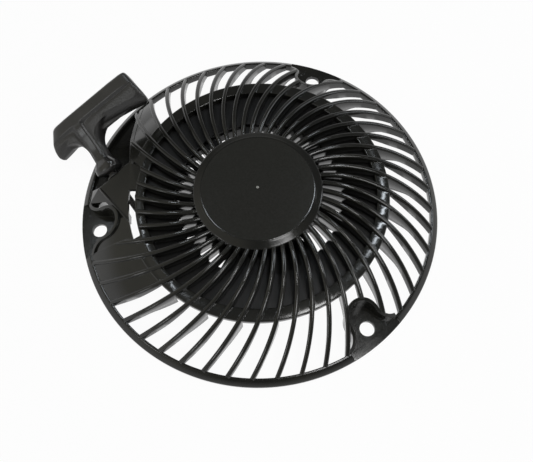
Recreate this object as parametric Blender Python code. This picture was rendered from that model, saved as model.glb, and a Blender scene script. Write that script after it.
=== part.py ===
"""Recoil starter for a small engine.

A moulded housing with a swirl of cooling vanes holds a rope pulley on a centre post. A flat
spiral spring in the hub rewinds the pulley, two pawls under it swing out to drive the engine,
and the rope leaves through an eyelet to a T-handle.

Sizes are in millimetres and angles in degrees; meshes are made in metres. The origin is the
centre of the mounting flange's flat face, +Z points away from the engine.
"""
import math

import bmesh
import bpy
from mathutils import Matrix, Vector

MM = 0.001
CLEARANCE = 0.3
OVERLAP = 0.5
# Solver for the housing, where the exact one leaves the many crossing vanes open
CROWDED = "MANIFOLD"

# Housing: rim, dome and hub
RIM_RADIUS = 108.0
RIM_WIDTH = 4.6
RIM_BOTTOM = 0.4
FLANGE_TOP = 2.9
RIM_LIP_HEIGHT = 5.6
RIM_LIP_WIDTH = 1.2
HUB_FACE_RADIUS = 32.9
HUB_RADIUS = 37.2
HUB_HEIGHT = 29.3
HUB_BEVEL_DROP = 1.4
HUB_CEILING_THICKNESS = 3.0
HUB_WALL = 2.8
HUB_WALL_BOTTOM = 19.0
GATE_MARK_RADIUS = 0.8
GATE_MARK_HEIGHT = 0.35
RIM_STEPS = 60
HUB_STEPS = 36

# Housing: vanes, as heights and sweep angles at the hub, the ring and the rim
VANE_COUNT = 48
VANE_THICKNESS = 2.5
VANE_CROWN = 0.5
VANE_PHASE = 4.5
VANE_HUB_TOP = 27.6
VANE_RING_TOP = 24.0
VANE_RIM_TOP = 6.8
VANE_RING_SWEEP = 10.6
VANE_HUB_SWEEP = 23.2
VANE_INNER_BOTTOM = 19.4
VANE_RING_DEPTH = 9.0
VANE_RIM_DEPTH = 6.2
VANE_DEEP_EVERY = 2
VANE_DEEP_BOTTOM = 8.5

# Housing: middle ring, which steps inwards beside the rope
RING_INNER_RADIUS = 69.0
RING_OUTER_RADIUS = 76.3
RING_TOP = 22.2
RING_PLATE = 2.4
RING_SKIRT_WALL = 2.2
RING_SKIRT_BOTTOM = 17.6
ROPE_RING_INNER_RADIUS = 66.4
ROPE_RING_OUTER_RADIUS = 71.7
ROPE_RING_START = 152.0
ROPE_RING_END = 203.0

# Housing: bolt ears
EAR_ANGLES = (60.0, 180.0, 300.0)
BOLT_HOLE_RADIUS = 4.28
BOLT_CIRCLE_RADIUS = 97.4
EAR_END_RADIUS = 8.5
EAR_END_CENTRE = 92.6
EAR_FLARE_RADIUS = 10.0
EAR_FLARE_ANGLE = 78.0
EAR_WALL = 1.8
EAR_WALL_DROP = 1.0
EAR_FLOOR_TOP = 2.7

# Housing: closed panels, handle bay and rope block
PANEL_DROP = 1.2
PANEL_THICKNESS = 2.0
BAY_FLOOR_BOTTOM = 0.6
BAY_FLOOR_TOP = 2.4
BAY_WALL = 2.0
BAY_START_ANGLE = 129.6
BAY_KNEE_ANGLE = 144.6
BAY_KNEE_RADIUS = 88.0
BLOCK_LEFT = (-93.5, 22.5)
BLOCK_RIGHT = (-72.5, 34.4)
BLOCK_LEFT_TOP = 14.5
BLOCK_TOP = 20.5
BLOCK_FRONT_WALL = 3.0
BLOCK_SIDE_WALL = 2.4
BLOCK_ROOF = 2.2
SHOULDER_START_ANGLE = 165.5
SHOULDER_TOP = 5.2
SHOULDER_EAR_ANGLE = 9.0
BLOCK_START_ANGLE = 157.0
ROPE_GAP_START = 168.5
ROPE_GAP_END = 193.0
ROPE_GAP_WIDTH = 4.2
RIDGE_END_ANGLE = 184.0
RIDGE_BOTTOM = 15.0
PANEL_START_ANGLE = 189.4
EAR_PANEL_START = 181.0
EAR_PANEL_DROP = 2.4
PANEL_VANE_NEAR = 209.2
BAY_VANE_NEAR = 124.0
SHOULDER_HOLLOW = ((-101.2, 16.9), (-99.0, 12.6), (-92.0, 8.5), (-85.5, 5.5), (-90.0, 12.5))
SHOULDER_HOLLOW_BOTTOM = 3.1

# Rope, eyelet and pulley
ROPE_DIAMETER = 3.8
ROPE_ROW_STEP = 4.4
ROPE_LAYER_STEP = 4.25
ROPE_DRUM_RADIUS = 50.8
ROPE_LINE_ANGLE = 117.5
ROPE_ANCHOR_ANGLE = 270.0
ROPE_FULL_TURNS = 4
ROPE_STEPS_PER_TURN = 30
ROPE_CLIMB_ARC = 45.0
ROPE_FIRST_CLIMB = 175.0
ROPE_TUNNEL_WIDTH = 9.0
ROPE_TUNNEL_TOP = 15.6
ANCHOR_WALL_GAP = 2.1
ANCHOR_LEAD_ANGLE = 18.0
ANCHOR_KNOT_RADIUS = 4.2
ANCHOR_KNOT_HEIGHT = 4.2
ROPE_HOLE_GAP = 0.35
EYELET_BORE_RADIUS = 2.4
EYELET_WALL = 0.9
EYELET_FLANGE = 0.8
EYELET_FLANGE_THICKNESS = 1.2
EYELET_HEIGHT = 13.0
PULLEY_FLANGE_RADIUS = 69.0
PULLEY_FLANGE_THICKNESS = 1.2
PULLEY_BOTTOM = 6.8
PULLEY_DRUM_WALL = 1.5
PULLEY_WEB_BOTTOM = 13.0
PULLEY_WEB_THICKNESS = 2.4
PULLEY_SLEEVE_WALL = 4.2
PULLEY_STEPS = 36
WINDOW_COUNT = 12
WINDOW_INNER_RADIUS = 36.0
WINDOW_MARGIN = 1.0
WINDOW_WIDTH_ANGLE = 21.0
WINDOW_PHASE = 15.0
SOLID_WINDOWS = (8, 9)
POST_RADIUS = 6.0
POST_BOTTOM = 4.0
RUNNING_GAP = 0.3

# Rewind spring and its retainer
SPRING_THICKNESS = 0.7
SPRING_TURNS = 7
SPRING_STEPS_PER_TURN = 18
RETAINER_THICKNESS = 0.9
RETAINER_HOLE_GAP = 1.5

# Pawls, guide and centre screw
PAWL_ANGLES = (50.0, 230.0)
PAWL_PIVOT_RADIUS = 19.0
PAWL_POST_RADIUS = 3.0
PAWL_HUB_RADIUS = 5.8
PAWL_HUB_HEIGHT = 2.3
PAWL_LENGTH = 17.0
PAWL_WIDTH = 7.0
PAWL_BOTTOM = 6.8
PAWL_TRAVEL = 28.0
PAWL_PIN_OFFSET = 9.0
PAWL_PIN_RADIUS = 1.6
GUIDE_TRAVEL = 35.0
GUIDE_RADIUS = 29.0
GUIDE_THICKNESS = 2.0
PAWL_SPRING_WIRE = 0.8
PAWL_SPRING_PITCH = 1.25
PAWL_SPRING_TURNS = 2
PAWL_SPRING_LEG = 9.0
PEG_RADIUS = 1.2
PEG_REACH = 3.2
WASHER_RADIUS = 10.0
WASHER_THICKNESS = 1.0
SCREW_HEAD_RADIUS = 5.5
SCREW_HEAD_HEIGHT = 2.0
SCREW_RADIUS = 2.0
SCREW_LENGTH = 14.0
FRICTION_WIRE = 1.2
FRICTION_RADIUS = 13.0

# T-handle: direction, then sizes up from its base
HANDLE_AZIMUTH = 112.4
HANDLE_ELEVATION = 15.3
HANDLE_TWIST = 30.9
ROPE_BEND_DISTANCE = 2.0
HANDLE_STANDOFF = 2.0
GRIP_STEPS = 28
GRIP_HEIGHT = 42.3
GRIP_BAR_DEPTH = 18.8
GRIP_FINGER_SLOPE = 0.07
GRIP_LEFT_LENGTH = 25.4
GRIP_RIGHT_LENGTH = 48.4
GRIP_HALF_THICKNESS = 7.9
# Levels of the bar from the finger side to the palm side: shares of its depth, of its left and
# right lengths and of its half thickness
GRIP_BAR_SHAPE = ((0.0, 0.96, 0.975, 0.45), (0.1, 1.0, 1.0, 0.60), (0.25, 0.985, 0.993, 0.78),
                  (0.45, 0.94, 0.975, 0.94), (0.6, 0.89, 0.957, 1.0), (0.93, 0.735, 0.926, 1.0),
                  (1.0, 0.695, 0.91, 0.92))
STEM_HALF_WIDTH = 4.9
STEM_HALF_THICKNESS = 4.6
STEM_FILLET = 8.0
STEM_ROOT_WIDTH = 8.0
STEM_ROOT_SHARE = 0.7
GRIP_BASE_HALF_WIDTH = 7.2
GRIP_BASE_HALF_THICKNESS = 6.2
GRIP_BASE_LENGTH = 6.6
GRIP_ROPE_RADIUS = 2.5
GRIP_POCKET_RADIUS = 4.6
GRIP_POCKET_DEPTH = 16.0
INSERT_THICKNESS = 2.6
CAP_THICKNESS = 2.2
KNOT_RADIUS = 3.6
KNOT_LENGTH = 6.6

# Surfaces: colour, roughness and metallic value
GLOSS_BLACK = ((0.012, 0.012, 0.013), 0.22, 0.0)
GRIP_BLACK = ((0.016, 0.016, 0.017), 0.5, 0.0)
NYLON_BLACK = ((0.03, 0.03, 0.032), 0.4, 0.0)
ROPE_BLACK = ((0.03, 0.026, 0.022), 0.85, 0.0)
SPRING_STEEL = ((0.35, 0.34, 0.33), 0.3, 1.0)
ZINC_STEEL = ((0.6, 0.6, 0.58), 0.35, 1.0)


def polar(angle, radius):
    """Point in plan at an angle in degrees and a radius."""
    return (radius * math.cos(math.radians(angle)), radius * math.sin(math.radians(angle)))


def arc(centre, radius, start, end, steps):
    """Points in plan along an arc, both ends included."""
    span = [start + (end - start) * i / steps for i in range(steps + 1)]
    return [(centre[0] + x, centre[1] + y) for x, y in (polar(a, radius) for a in span)]


def material(name, colour, roughness, metallic=0.0):
    """A Principled material in a part's plain colour."""
    made = bpy.data.materials.new(name)
    made.use_nodes = True
    shader = made.node_tree.nodes["Principled BSDF"]
    shader.inputs["Base Color"].default_value = (*colour, 1.0)
    shader.inputs["Roughness"].default_value = roughness
    shader.inputs["Metallic"].default_value = metallic
    return made


def new_object(name, mesh):
    """Link a mesh as an object of the scene."""
    made = bpy.data.objects.new(name, mesh)
    bpy.context.scene.collection.objects.link(made)
    return made


def solid(name, points, faces):
    """Closed mesh from points in millimetres, its faces turned outwards."""
    mesh = bpy.data.meshes.new(name)
    mesh.from_pydata([Vector(p) * MM for p in points], [], faces)
    work = bmesh.new()
    work.from_mesh(mesh)
    bmesh.ops.recalc_face_normals(work, faces=work.faces)
    work.to_mesh(mesh)
    work.free()
    return new_object(name, mesh)


def loft(name, rings, closed=False):
    """Skin equal rings of points; open lofts get flat end caps."""
    size = len(rings[0])
    points = [p for ring in rings for p in ring]
    spans = range(len(rings)) if closed else range(len(rings) - 1)
    faces = []
    for i in spans:
        low, high = i * size, (i + 1) % len(rings) * size
        for j in range(size):
            k = (j + 1) % size
            faces.append((low + j, low + k, high + k, high + j))
    if not closed:
        faces.append(tuple(range(size)))
        faces.append(tuple(range(len(points) - size, len(points))))
    return solid(name, points, faces)


def turned(name, profile, steps, start=0.0, end=360.0):
    """Revolve a closed profile of (radius, height), a full turn or a sector."""
    full = end - start >= 360.0
    count = steps if full else steps + 1
    rings = []
    for i in range(count):
        angle = start + (end - start) * i / steps
        rings.append([(*polar(angle, r), z) for r, z in profile])
    return loft(name, rings, closed=full)


def prism(name, outline, bottom, top):
    """Extrude an outline in plan between two heights."""
    return loft(name, [[(*p, bottom) for p in outline], [(*p, top) for p in outline]])


def hull(name, points):
    """Convex solid round a few points."""
    mesh = bpy.data.meshes.new(name)
    work = bmesh.new()
    corners = [work.verts.new(Vector(p) * MM) for p in points]
    result = bmesh.ops.convex_hull(work, input=corners)
    spare = result["geom_interior"] + result["geom_unused"]
    inside = {v for v in spare if isinstance(v, bmesh.types.BMVert)}
    bmesh.ops.delete(work, geom=list(inside), context="VERTS")
    bmesh.ops.recalc_face_normals(work, faces=work.faces)
    work.to_mesh(mesh)
    work.free()
    return new_object(name, mesh)


def rod(name, radius, bottom, top, steps=24, centre=(0.0, 0.0)):
    """Upright round bar."""
    ring = arc(centre, radius, 0.0, 360.0, steps)[:-1]
    return prism(name, ring, bottom, top)


def ball(name, width, height, centre=(0.0, 0.0, 0.0)):
    """Round or flattened ball."""
    mesh = bpy.data.meshes.new(name)
    work = bmesh.new()
    bmesh.ops.create_uvsphere(work, u_segments=14, v_segments=8, radius=0.5)
    bmesh.ops.scale(work, vec=Vector((width, width, height)) * MM, verts=work.verts)
    bmesh.ops.translate(work, vec=Vector(centre) * MM, verts=work.verts)
    work.to_mesh(mesh)
    work.free()
    return new_object(name, mesh)


def placed(origin, axis, side):
    """Placement with Z along an axis and X as near as can be along a side."""
    z = Vector(axis).normalized()
    x = (Vector(side) - z * Vector(side).dot(z)).normalized()
    turn = Matrix((x, z.cross(x), z)).transposed().to_4x4()
    return Matrix.Translation(Vector(origin) * MM) @ turn


def joined(name, pieces):
    """Gather separate solids in one mesh, to cut or add them together."""
    work = bmesh.new()
    for piece in pieces:
        piece.data.transform(piece.matrix_basis)
        work.from_mesh(piece.data)
        bpy.data.objects.remove(piece)
    mesh = bpy.data.meshes.new(name)
    work.to_mesh(mesh)
    work.free()
    return new_object(name, mesh)


def boolean(target, tool, operation, solver="EXACT"):
    """Apply one Boolean and drop the tool."""
    modifier = target.modifiers.new(operation, "BOOLEAN")
    modifier.object = tool
    modifier.operation = operation
    modifier.solver = solver
    bpy.context.view_layer.update()
    evaluated = target.evaluated_get(bpy.context.evaluated_depsgraph_get())
    mesh = bpy.data.meshes.new_from_object(evaluated)
    target.modifiers.clear()
    target.data = mesh
    bpy.data.objects.remove(tool)
    return target


def add(target, tool, solver="EXACT"):
    return boolean(target, tool, "UNION", solver)


def cut(target, tool, solver="EXACT"):
    return boolean(target, tool, "DIFFERENCE", solver)


def common(target, tool):
    return boolean(target, tool, "INTERSECT")


def merge_flats(piece, angle=0.01):
    """Join the faces of each flat area that Booleans have split."""
    work = bmesh.new()
    work.from_mesh(piece.data)
    bmesh.ops.dissolve_limit(work, angle_limit=math.radians(angle), verts=work.verts, edges=work.edges)
    bmesh.ops.delete(work, geom=[v for v in work.verts if not v.link_faces], context="VERTS")
    bmesh.ops.triangulate(work, faces=work.faces, ngon_method="EAR_CLIP")
    work.to_mesh(piece.data)
    work.free()
    return piece


def finish(piece, surface, sharp_angle=35.0):
    """Give a piece its own material and its smooth shading."""
    piece.data.materials.clear()
    piece.data.materials.append(material(piece.name + "_surface", *surface))
    piece.data.shade_smooth()
    piece.data.set_sharp_from_angle(angle=math.radians(sharp_angle))
    return piece


def tube(name, points, diameter, resolution=1):
    """Cord or wire: a bevelled curve along points, with filled caps, as a mesh."""
    curve = bpy.data.curves.new(name, "CURVE")
    curve.dimensions = "3D"
    curve.bevel_depth = diameter / 2 * MM
    curve.bevel_resolution = resolution
    curve.use_fill_caps = True
    spline = curve.splines.new("POLY")
    spline.points.add(len(points) - 1)
    for place, point in zip(spline.points, points):
        place.co = (*(Vector(point) * MM), 1.0)
    made = bpy.data.objects.new(name, curve)
    bpy.context.scene.collection.objects.link(made)
    bpy.context.view_layer.update()
    evaluated = made.evaluated_get(bpy.context.evaluated_depsgraph_get())
    mesh = bpy.data.meshes.new_from_object(evaluated)
    bpy.data.objects.remove(made)
    work = bmesh.new()
    work.from_mesh(mesh)
    bmesh.ops.remove_doubles(work, verts=work.verts, dist=0.01 * MM)
    bmesh.ops.recalc_face_normals(work, faces=work.faces)
    work.to_mesh(mesh)
    work.free()
    return new_object(name, mesh)


def print_self_gap(name, points, width, skip):
    """Print the smallest gap between the turns of a wound piece, measured on its route's points."""
    places = [Vector(p) for p in points]
    least = math.inf
    for i, first in enumerate(places):
        for second in places[i + skip:]:
            least = min(least, (first - second).length)
    print(name, "least gap to itself", round(least - width, 3), "mm")


# Rules that several pieces share

RIM_INNER_RADIUS = RIM_RADIUS - RIM_WIDTH
RING_MIDDLE_RADIUS = (RING_INNER_RADIUS + RING_OUTER_RADIUS) / 2
VANE_PITCH = 360.0 / VANE_COUNT
PANEL_END_ANGLE = VANE_PHASE + VANE_PITCH * round((PANEL_VANE_NEAR - VANE_PHASE) / VANE_PITCH)
BAY_PANEL_ANGLE = VANE_PHASE + VANE_PITCH * round((BAY_VANE_NEAR - VANE_PHASE) / VANE_PITCH)
WALL_FOOT = BAY_FLOOR_BOTTOM + OVERLAP
CEILING = HUB_HEIGHT - HUB_CEILING_THICKNESS
CHAMBER_RADIUS = HUB_RADIUS - HUB_WALL
SLEEVE_BORE = POST_RADIUS + RUNNING_GAP
SLEEVE_RADIUS = SLEEVE_BORE + PULLEY_SLEEVE_WALL
PULLEY_TOP_OF_WEB = PULLEY_WEB_BOTTOM + PULLEY_WEB_THICKNESS
ROPE_RADIUS = ROPE_DIAMETER / 2
ROPE_LOW_ROW = PULLEY_BOTTOM + PULLEY_FLANGE_THICKNESS + CLEARANCE + ROPE_RADIUS
ROPE_HIGH_ROW = ROPE_LOW_ROW + ROPE_ROW_STEP
PULLEY_TOP = ROPE_HIGH_ROW + ROPE_RADIUS + CLEARANCE + PULLEY_FLANGE_THICKNESS
ROPE_INNER_LAYER = ROPE_DRUM_RADIUS + CLEARANCE + ROPE_RADIUS
ROPE_OUTER_LAYER = ROPE_INNER_LAYER + 2 * ROPE_LAYER_STEP
ROPE_EXIT_ANGLE = ROPE_LINE_ANGLE + 90.0
GUIDE_BOTTOM = POST_BOTTOM
GUIDE_TOP = GUIDE_BOTTOM + GUIDE_THICKNESS
WASHER_TOP = POST_BOTTOM - CLEARANCE
PAWL_RATIO = PAWL_TRAVEL / GUIDE_TRAVEL
PAWL_SPRING_COIL_RADIUS = PAWL_POST_RADIUS + 2 * CLEARANCE + PAWL_SPRING_WIRE / 2
SLEEVE_BOTTOM = GUIDE_TOP + CLEARANCE
RETAINER_TOP = HUB_WALL_BOTTOM - CLEARANCE
DRUM_INSIDE = ROPE_DRUM_RADIUS - PULLEY_DRUM_WALL
ANCHOR_RADIUS = DRUM_INSIDE - ANCHOR_WALL_GAP - ANCHOR_KNOT_RADIUS
ANCHOR_HEIGHT = PULLEY_WEB_BOTTOM - CLEARANCE - ANCHOR_KNOT_HEIGHT / 2
POCKET_FLOOR = GRIP_HEIGHT - GRIP_POCKET_DEPTH
INSERT_TOP = POCKET_FLOOR + CLEARANCE + INSERT_THICKNESS


def circle_through(a, b, c):
    """Centre and radius of the circle through three points of a profile."""
    (ax, ay), (bx, by), (cx, cy) = a, b, c
    d = 2 * (ax * (by - cy) + bx * (cy - ay) + cx * (ay - by))
    sa, sb, sc = ax * ax + ay * ay, bx * bx + by * by, cx * cx + cy * cy
    x = (sa * (by - cy) + sb * (cy - ay) + sc * (ay - by)) / d
    y = (sa * (cx - bx) + sb * (ax - cx) + sc * (bx - ax)) / d
    return x, y, math.hypot(ax - x, ay - y)


DOME = circle_through((HUB_RADIUS, VANE_HUB_TOP), (RING_MIDDLE_RADIUS, VANE_RING_TOP),
                      (RIM_INNER_RADIUS, VANE_RIM_TOP))


def dome_top(radius):
    """Height of the vanes' crowns: one arc from hub to rim."""
    x, y, r = DOME
    return y + math.sqrt(r * r - (radius - x) ** 2)


def vane_sweep(radius):
    """Angle that a vane has turned, going inwards from the rim."""
    places = ((RIM_INNER_RADIUS, 0.0), (RING_MIDDLE_RADIUS, VANE_RING_SWEEP), (HUB_RADIUS, VANE_HUB_SWEEP))
    total = 0.0
    for i, (r, angle) in enumerate(places):
        weight = 1.0
        for j, (other, _) in enumerate(places):
            if j != i:
                weight *= (radius - other) / (r - other)
        total += angle * weight
    return total


def vane_underside(radius):
    """Height of a vane's lower edge: level over the pulley, then following the dome."""
    if radius <= RING_INNER_RADIUS:
        return VANE_INNER_BOTTOM
    share = (radius - RING_INNER_RADIUS) / (RIM_INNER_RADIUS - RING_INNER_RADIUS)
    return dome_top(radius) - VANE_RING_DEPTH + (VANE_RING_DEPTH - VANE_RIM_DEPTH) * share


def vane_direction(radius):
    """Direction in plan of a vane's outward run, against its own angle."""
    step = 0.5
    here = Vector(polar(vane_sweep(radius - step), radius - step))
    there = Vector(polar(vane_sweep(radius + step), radius + step))
    return (there - here).normalized()


# Housing

def vane_section(radius, thickness, levels):
    """Section across a vane: (share of half thickness, height) pairs become points."""
    centre = Vector(polar(vane_sweep(radius), radius))
    along = vane_direction(radius)
    across = Vector((-along.y, along.x)) * thickness / 2
    return [(*(centre + across * share), z) for share, z in levels]


def vane(deep):
    """One vane with a crowned top, from inside the hub wall to inside the rim."""
    hub_end = HUB_RADIUS - HUB_WALL / 2
    rim_end = RIM_INNER_RADIUS + RIM_LIP_WIDTH / 2
    step = RING_OUTER_RADIUS - RING_SKIRT_WALL / 2
    radii = [hub_end, (hub_end + step) / 2, step, (step + rim_end) / 2, rim_end]
    lows = [vane_underside(r) for r in radii]
    lows[2] = VANE_INNER_BOTTOM
    if deep:
        radii.insert(3, step + OVERLAP)
        lows.insert(3, VANE_DEEP_BOTTOM)
    rings = []
    for radius, low in zip(radii, lows):
        top = dome_top(radius)
        shoulder = top - VANE_CROWN
        levels = ((-1, low), (1, low), (1, shoulder), (0, top), (-1, shoulder))
        rings.append(vane_section(radius, VANE_THICKNESS, levels))
    return loft("vane", rings)


def around(piece, angles):
    """Copies of a piece turned about Z, gathered in one mesh."""
    copies = []
    for angle in angles:
        made = piece.copy()
        made.data = piece.data.copy()
        made.data.transform(Matrix.Rotation(math.radians(angle), 4, "Z"))
        bpy.context.scene.collection.objects.link(made)
        copies.append(made)
    bpy.data.objects.remove(piece)
    return joined("pattern", copies)


def rim():
    inner, lip = RIM_INNER_RADIUS, RIM_INNER_RADIUS + RIM_LIP_WIDTH
    return turned("rim", [(inner, RIM_BOTTOM), (RIM_RADIUS, RIM_BOTTOM), (RIM_RADIUS, FLANGE_TOP),
                          (lip, RIM_LIP_HEIGHT), (inner, RIM_LIP_HEIGHT)], RIM_STEPS)


def ring_profile(inner, outer):
    plate = RING_TOP - RING_PLATE
    skirt = outer - RING_SKIRT_WALL
    return [(inner, plate), (skirt, plate), (skirt, RING_SKIRT_BOTTOM),
            (outer, RING_SKIRT_BOTTOM), (outer, RING_TOP), (inner, RING_TOP)]


def middle_ring():
    """Wide ring all round, but a narrower one set inwards beside the rope."""
    wide = turned("wide_ring", ring_profile(RING_INNER_RADIUS, RING_OUTER_RADIUS), RIM_STEPS,
                  ROPE_RING_END, ROPE_RING_START + 360.0)
    overlap = 1.5
    narrow = turned("narrow_ring", ring_profile(ROPE_RING_INNER_RADIUS, ROPE_RING_OUTER_RADIUS), 12,
                    ROPE_RING_START - overlap, ROPE_RING_END + overlap)
    return add(wide, narrow)


def hub():
    """Flat-faced cup that holds the rewind spring, with the pulley's post inside."""
    wall_top = HUB_HEIGHT - HUB_BEVEL_DROP
    cup = loft("hub", [[(*p, z) for p in arc((0, 0), r, 0, 360, HUB_STEPS)[:-1]] for r, z in (
        (HUB_RADIUS, HUB_WALL_BOTTOM), (HUB_RADIUS, wall_top), (HUB_FACE_RADIUS, HUB_HEIGHT))])
    chamber = turned("chamber", [(POST_RADIUS, POST_BOTTOM), (CHAMBER_RADIUS, POST_BOTTOM),
                                 (CHAMBER_RADIUS, CEILING), (POST_RADIUS, CEILING)], HUB_STEPS)
    cut(cup, chamber)
    add(cup, rod("post", POST_RADIUS, POST_BOTTOM, CEILING + 1.0, 24))
    screw_bore = SCREW_RADIUS + CLEARANCE
    cut(cup, rod("screw_bore", screw_bore, POST_BOTTOM - 1.0, POST_BOTTOM + SCREW_LENGTH + 1.0, 12))
    return add(cup, rod("gate_mark", GATE_MARK_RADIUS, HUB_HEIGHT - 1.0, HUB_HEIGHT + GATE_MARK_HEIGHT, 8))


def dome_band(name, drop, thickness):
    """Turned solid under the dome: a shell, or down to the bay floor without a thickness."""
    steps = 6
    inner = ROPE_RING_OUTER_RADIUS - 1.0
    outer = RIM_INNER_RADIUS + OVERLAP
    radii = [inner + (outer - inner) * i / steps for i in range(steps + 1)]
    top = [(r, dome_top(r) - drop) for r in radii]
    if thickness:
        low = [(r, z - thickness) for r, z in reversed(top)]
    else:
        low = [(outer, WALL_FOOT), (inner, WALL_FOOT)]
    return turned(name, top + low, RIM_STEPS)


def ear_outline(grow):
    """Bell shape round a bolt hole on the +X axis, opening towards the rim."""
    end = EAR_END_RADIUS + grow
    flare = EAR_FLARE_RADIUS - grow
    half = arc((EAR_END_CENTRE, 0), end, 180, 90, 5)
    side = arc((EAR_END_CENTRE, EAR_END_RADIUS + EAR_FLARE_RADIUS), flare, -90, EAR_FLARE_ANGLE - 90, 4)
    mouth = side[-1]
    beyond = (RIM_RADIUS + 4.0, mouth[1] + 2.0)
    upper = half + side[1:] + [beyond]
    return upper + [(x, -y) for x, y in reversed(upper[1:])]


def turned_outline(outline, angle):
    c, s = math.cos(math.radians(angle)), math.sin(math.radians(angle))
    return [(x * c - y * s, x * s + y * c) for x, y in outline]


def bay_line():
    """Top of the bay's back wall in plan, from the rim to the rope block."""
    return [polar(BAY_START_ANGLE, RIM_INNER_RADIUS), polar(BAY_KNEE_ANGLE, BAY_KNEE_RADIUS), BLOCK_RIGHT]


def bay_wall(rise):
    """The bay's back wall, which runs on a little into the rope block."""
    line = bay_line()
    onward = (Vector(line[-1]) - Vector(line[-2])).normalized()
    line[-1] = tuple(Vector(line[-1]) + onward * BAY_WALL)
    return prism("bay_wall", strip(line, OVERLAP, BAY_WALL), -1.0, rise)


def beside(points, distance):
    """A line in plan moved sideways, to its own left for a positive distance."""
    moved = []
    for i, point in enumerate(points):
        before = Vector(points[max(i - 1, 0)])
        after = Vector(points[min(i + 1, len(points) - 1)])
        along = (after - before).normalized()
        moved.append(tuple(Vector(point) + Vector((-along.y, along.x)) * distance))
    return moved


def strip(points, right, left):
    """Outline of a band along a line, by its reach to the line's right and left."""
    return beside(points, -right) + beside(points, left)[::-1]


def vane_line(rim_angle, outer, inner, steps=5):
    """Points in plan along a vane's middle, going inwards."""
    radii = [outer + (inner - outer) * i / steps for i in range(steps + 1)]
    return [polar(rim_angle + vane_sweep(r), r) for r in radii]


def bay_floor():
    """Floor of the handle bay, reaching a little under the wall, the block and the rim."""
    back = beside(bay_line(), 2 * OVERLAP)
    front = beside([BLOCK_LEFT, BLOCK_RIGHT], -2 * OVERLAP)
    rim_side = arc((0, 0), RIM_INNER_RADIUS + 2 * OVERLAP, SHOULDER_START_ANGLE + 1.0, BAY_START_ANGLE, 8)
    return prism("bay_floor", back + front[::-1] + rim_side, BAY_FLOOR_BOTTOM, BAY_FLOOR_TOP)


def rope_sector():
    """Region without vanes, from the bay wall to the first closed panel, in plan."""
    ring_side = arc((0, 0), ROPE_RING_OUTER_RADIUS - OVERLAP, BLOCK_START_ANGLE, ROPE_GAP_END, 8)
    rim_side = arc((0, 0), RIM_RADIUS, PANEL_START_ANGLE, BAY_START_ANGLE, 12)
    return bay_line()[1:-1] + beside(bay_line(), OVERLAP)[-1:] + ring_side + rim_side


def front_normal():
    along = (Vector(BLOCK_RIGHT) - Vector(BLOCK_LEFT)).normalized()
    return Vector((-along.y, along.x))


def rope_run_length():
    """Distance from the drum along the rope's line to the block's front face."""
    toward = Vector(polar(ROPE_LINE_ANGLE, 1.0))
    start = Vector(polar(ROPE_EXIT_ANGLE, ROPE_OUTER_LAYER))
    normal = front_normal()
    return (Vector(BLOCK_LEFT) - start).dot(normal) / toward.dot(normal)


ROPE_RUN_LENGTH = rope_run_length()


def eyelet_centre():
    """Where the rope's line meets the block's front face, in plan."""
    return rope_line(ROPE_RUN_LENGTH).xy


def rope_block():
    """Faceted block that carries the rope eyelet, hollow from below."""
    gap_edge = ROPE_RING_OUTER_RADIUS + ROPE_GAP_WIDTH
    ridge_end = polar(RIDGE_END_ANGLE, gap_edge)
    ring_a = polar(BLOCK_START_ANGLE, ROPE_RING_OUTER_RADIUS - 2 * OVERLAP)
    ring_b = polar(ROPE_GAP_START, ROPE_RING_OUTER_RADIUS - 2 * OVERLAP)
    roof = [(*BLOCK_LEFT, BLOCK_LEFT_TOP), (*BLOCK_RIGHT, BLOCK_TOP), (*ring_a, BLOCK_TOP + 1.0),
            (*ring_b, BLOCK_TOP + 1.0), (*ridge_end, BLOCK_TOP)]
    feet = [(*p, WALL_FOOT) for p in (BLOCK_LEFT, BLOCK_RIGHT, ring_a)]
    raised = [(*p, RIDGE_BOTTOM) for p in (ring_b, ridge_end)]
    body = hull("block", roof + feet + raised)
    shoulder = [(*BLOCK_LEFT, BLOCK_LEFT_TOP), (*BLOCK_LEFT, WALL_FOOT + OVERLAP / 2),
                (*ridge_end, BLOCK_TOP), (*ridge_end, RIDGE_BOTTOM + OVERLAP)]
    for angle in (SHOULDER_START_ANGLE, EAR_ANGLES[1] - SHOULDER_EAR_ANGLE):
        rim_point = polar(angle, RIM_INNER_RADIUS + OVERLAP)
        shoulder += [(*rim_point, SHOULDER_TOP), (*rim_point, WALL_FOOT + OVERLAP / 2)]
    add(body, hull("shoulder", shoulder))
    return cut(body, block_hollow())


def block_hollow():
    """Space under the block's roof, open below and towards the rope's gap."""
    along = (Vector(BLOCK_RIGHT) - Vector(BLOCK_LEFT)).normalized() * BLOCK_SIDE_WALL
    inwards = -front_normal() * BLOCK_FRONT_WALL
    in_gap = ROPE_RING_OUTER_RADIUS + ROPE_GAP_WIDTH / 3
    side = math.degrees(BLOCK_SIDE_WALL / in_gap)
    ceiling = [(*(Vector(BLOCK_LEFT) + inwards + along), BLOCK_LEFT_TOP - BLOCK_ROOF),
               (*(Vector(BLOCK_RIGHT) + inwards - along), BLOCK_TOP - BLOCK_ROOF),
               (*polar(BLOCK_START_ANGLE + side, in_gap), BLOCK_TOP - BLOCK_ROOF),
               (*polar(RIDGE_END_ANGLE - side, in_gap), BLOCK_TOP - BLOCK_ROOF)]
    return hull("block_hollow", ceiling + [(x, y, BAY_FLOOR_BOTTOM - 1.0) for x, y, _ in ceiling])


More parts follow.
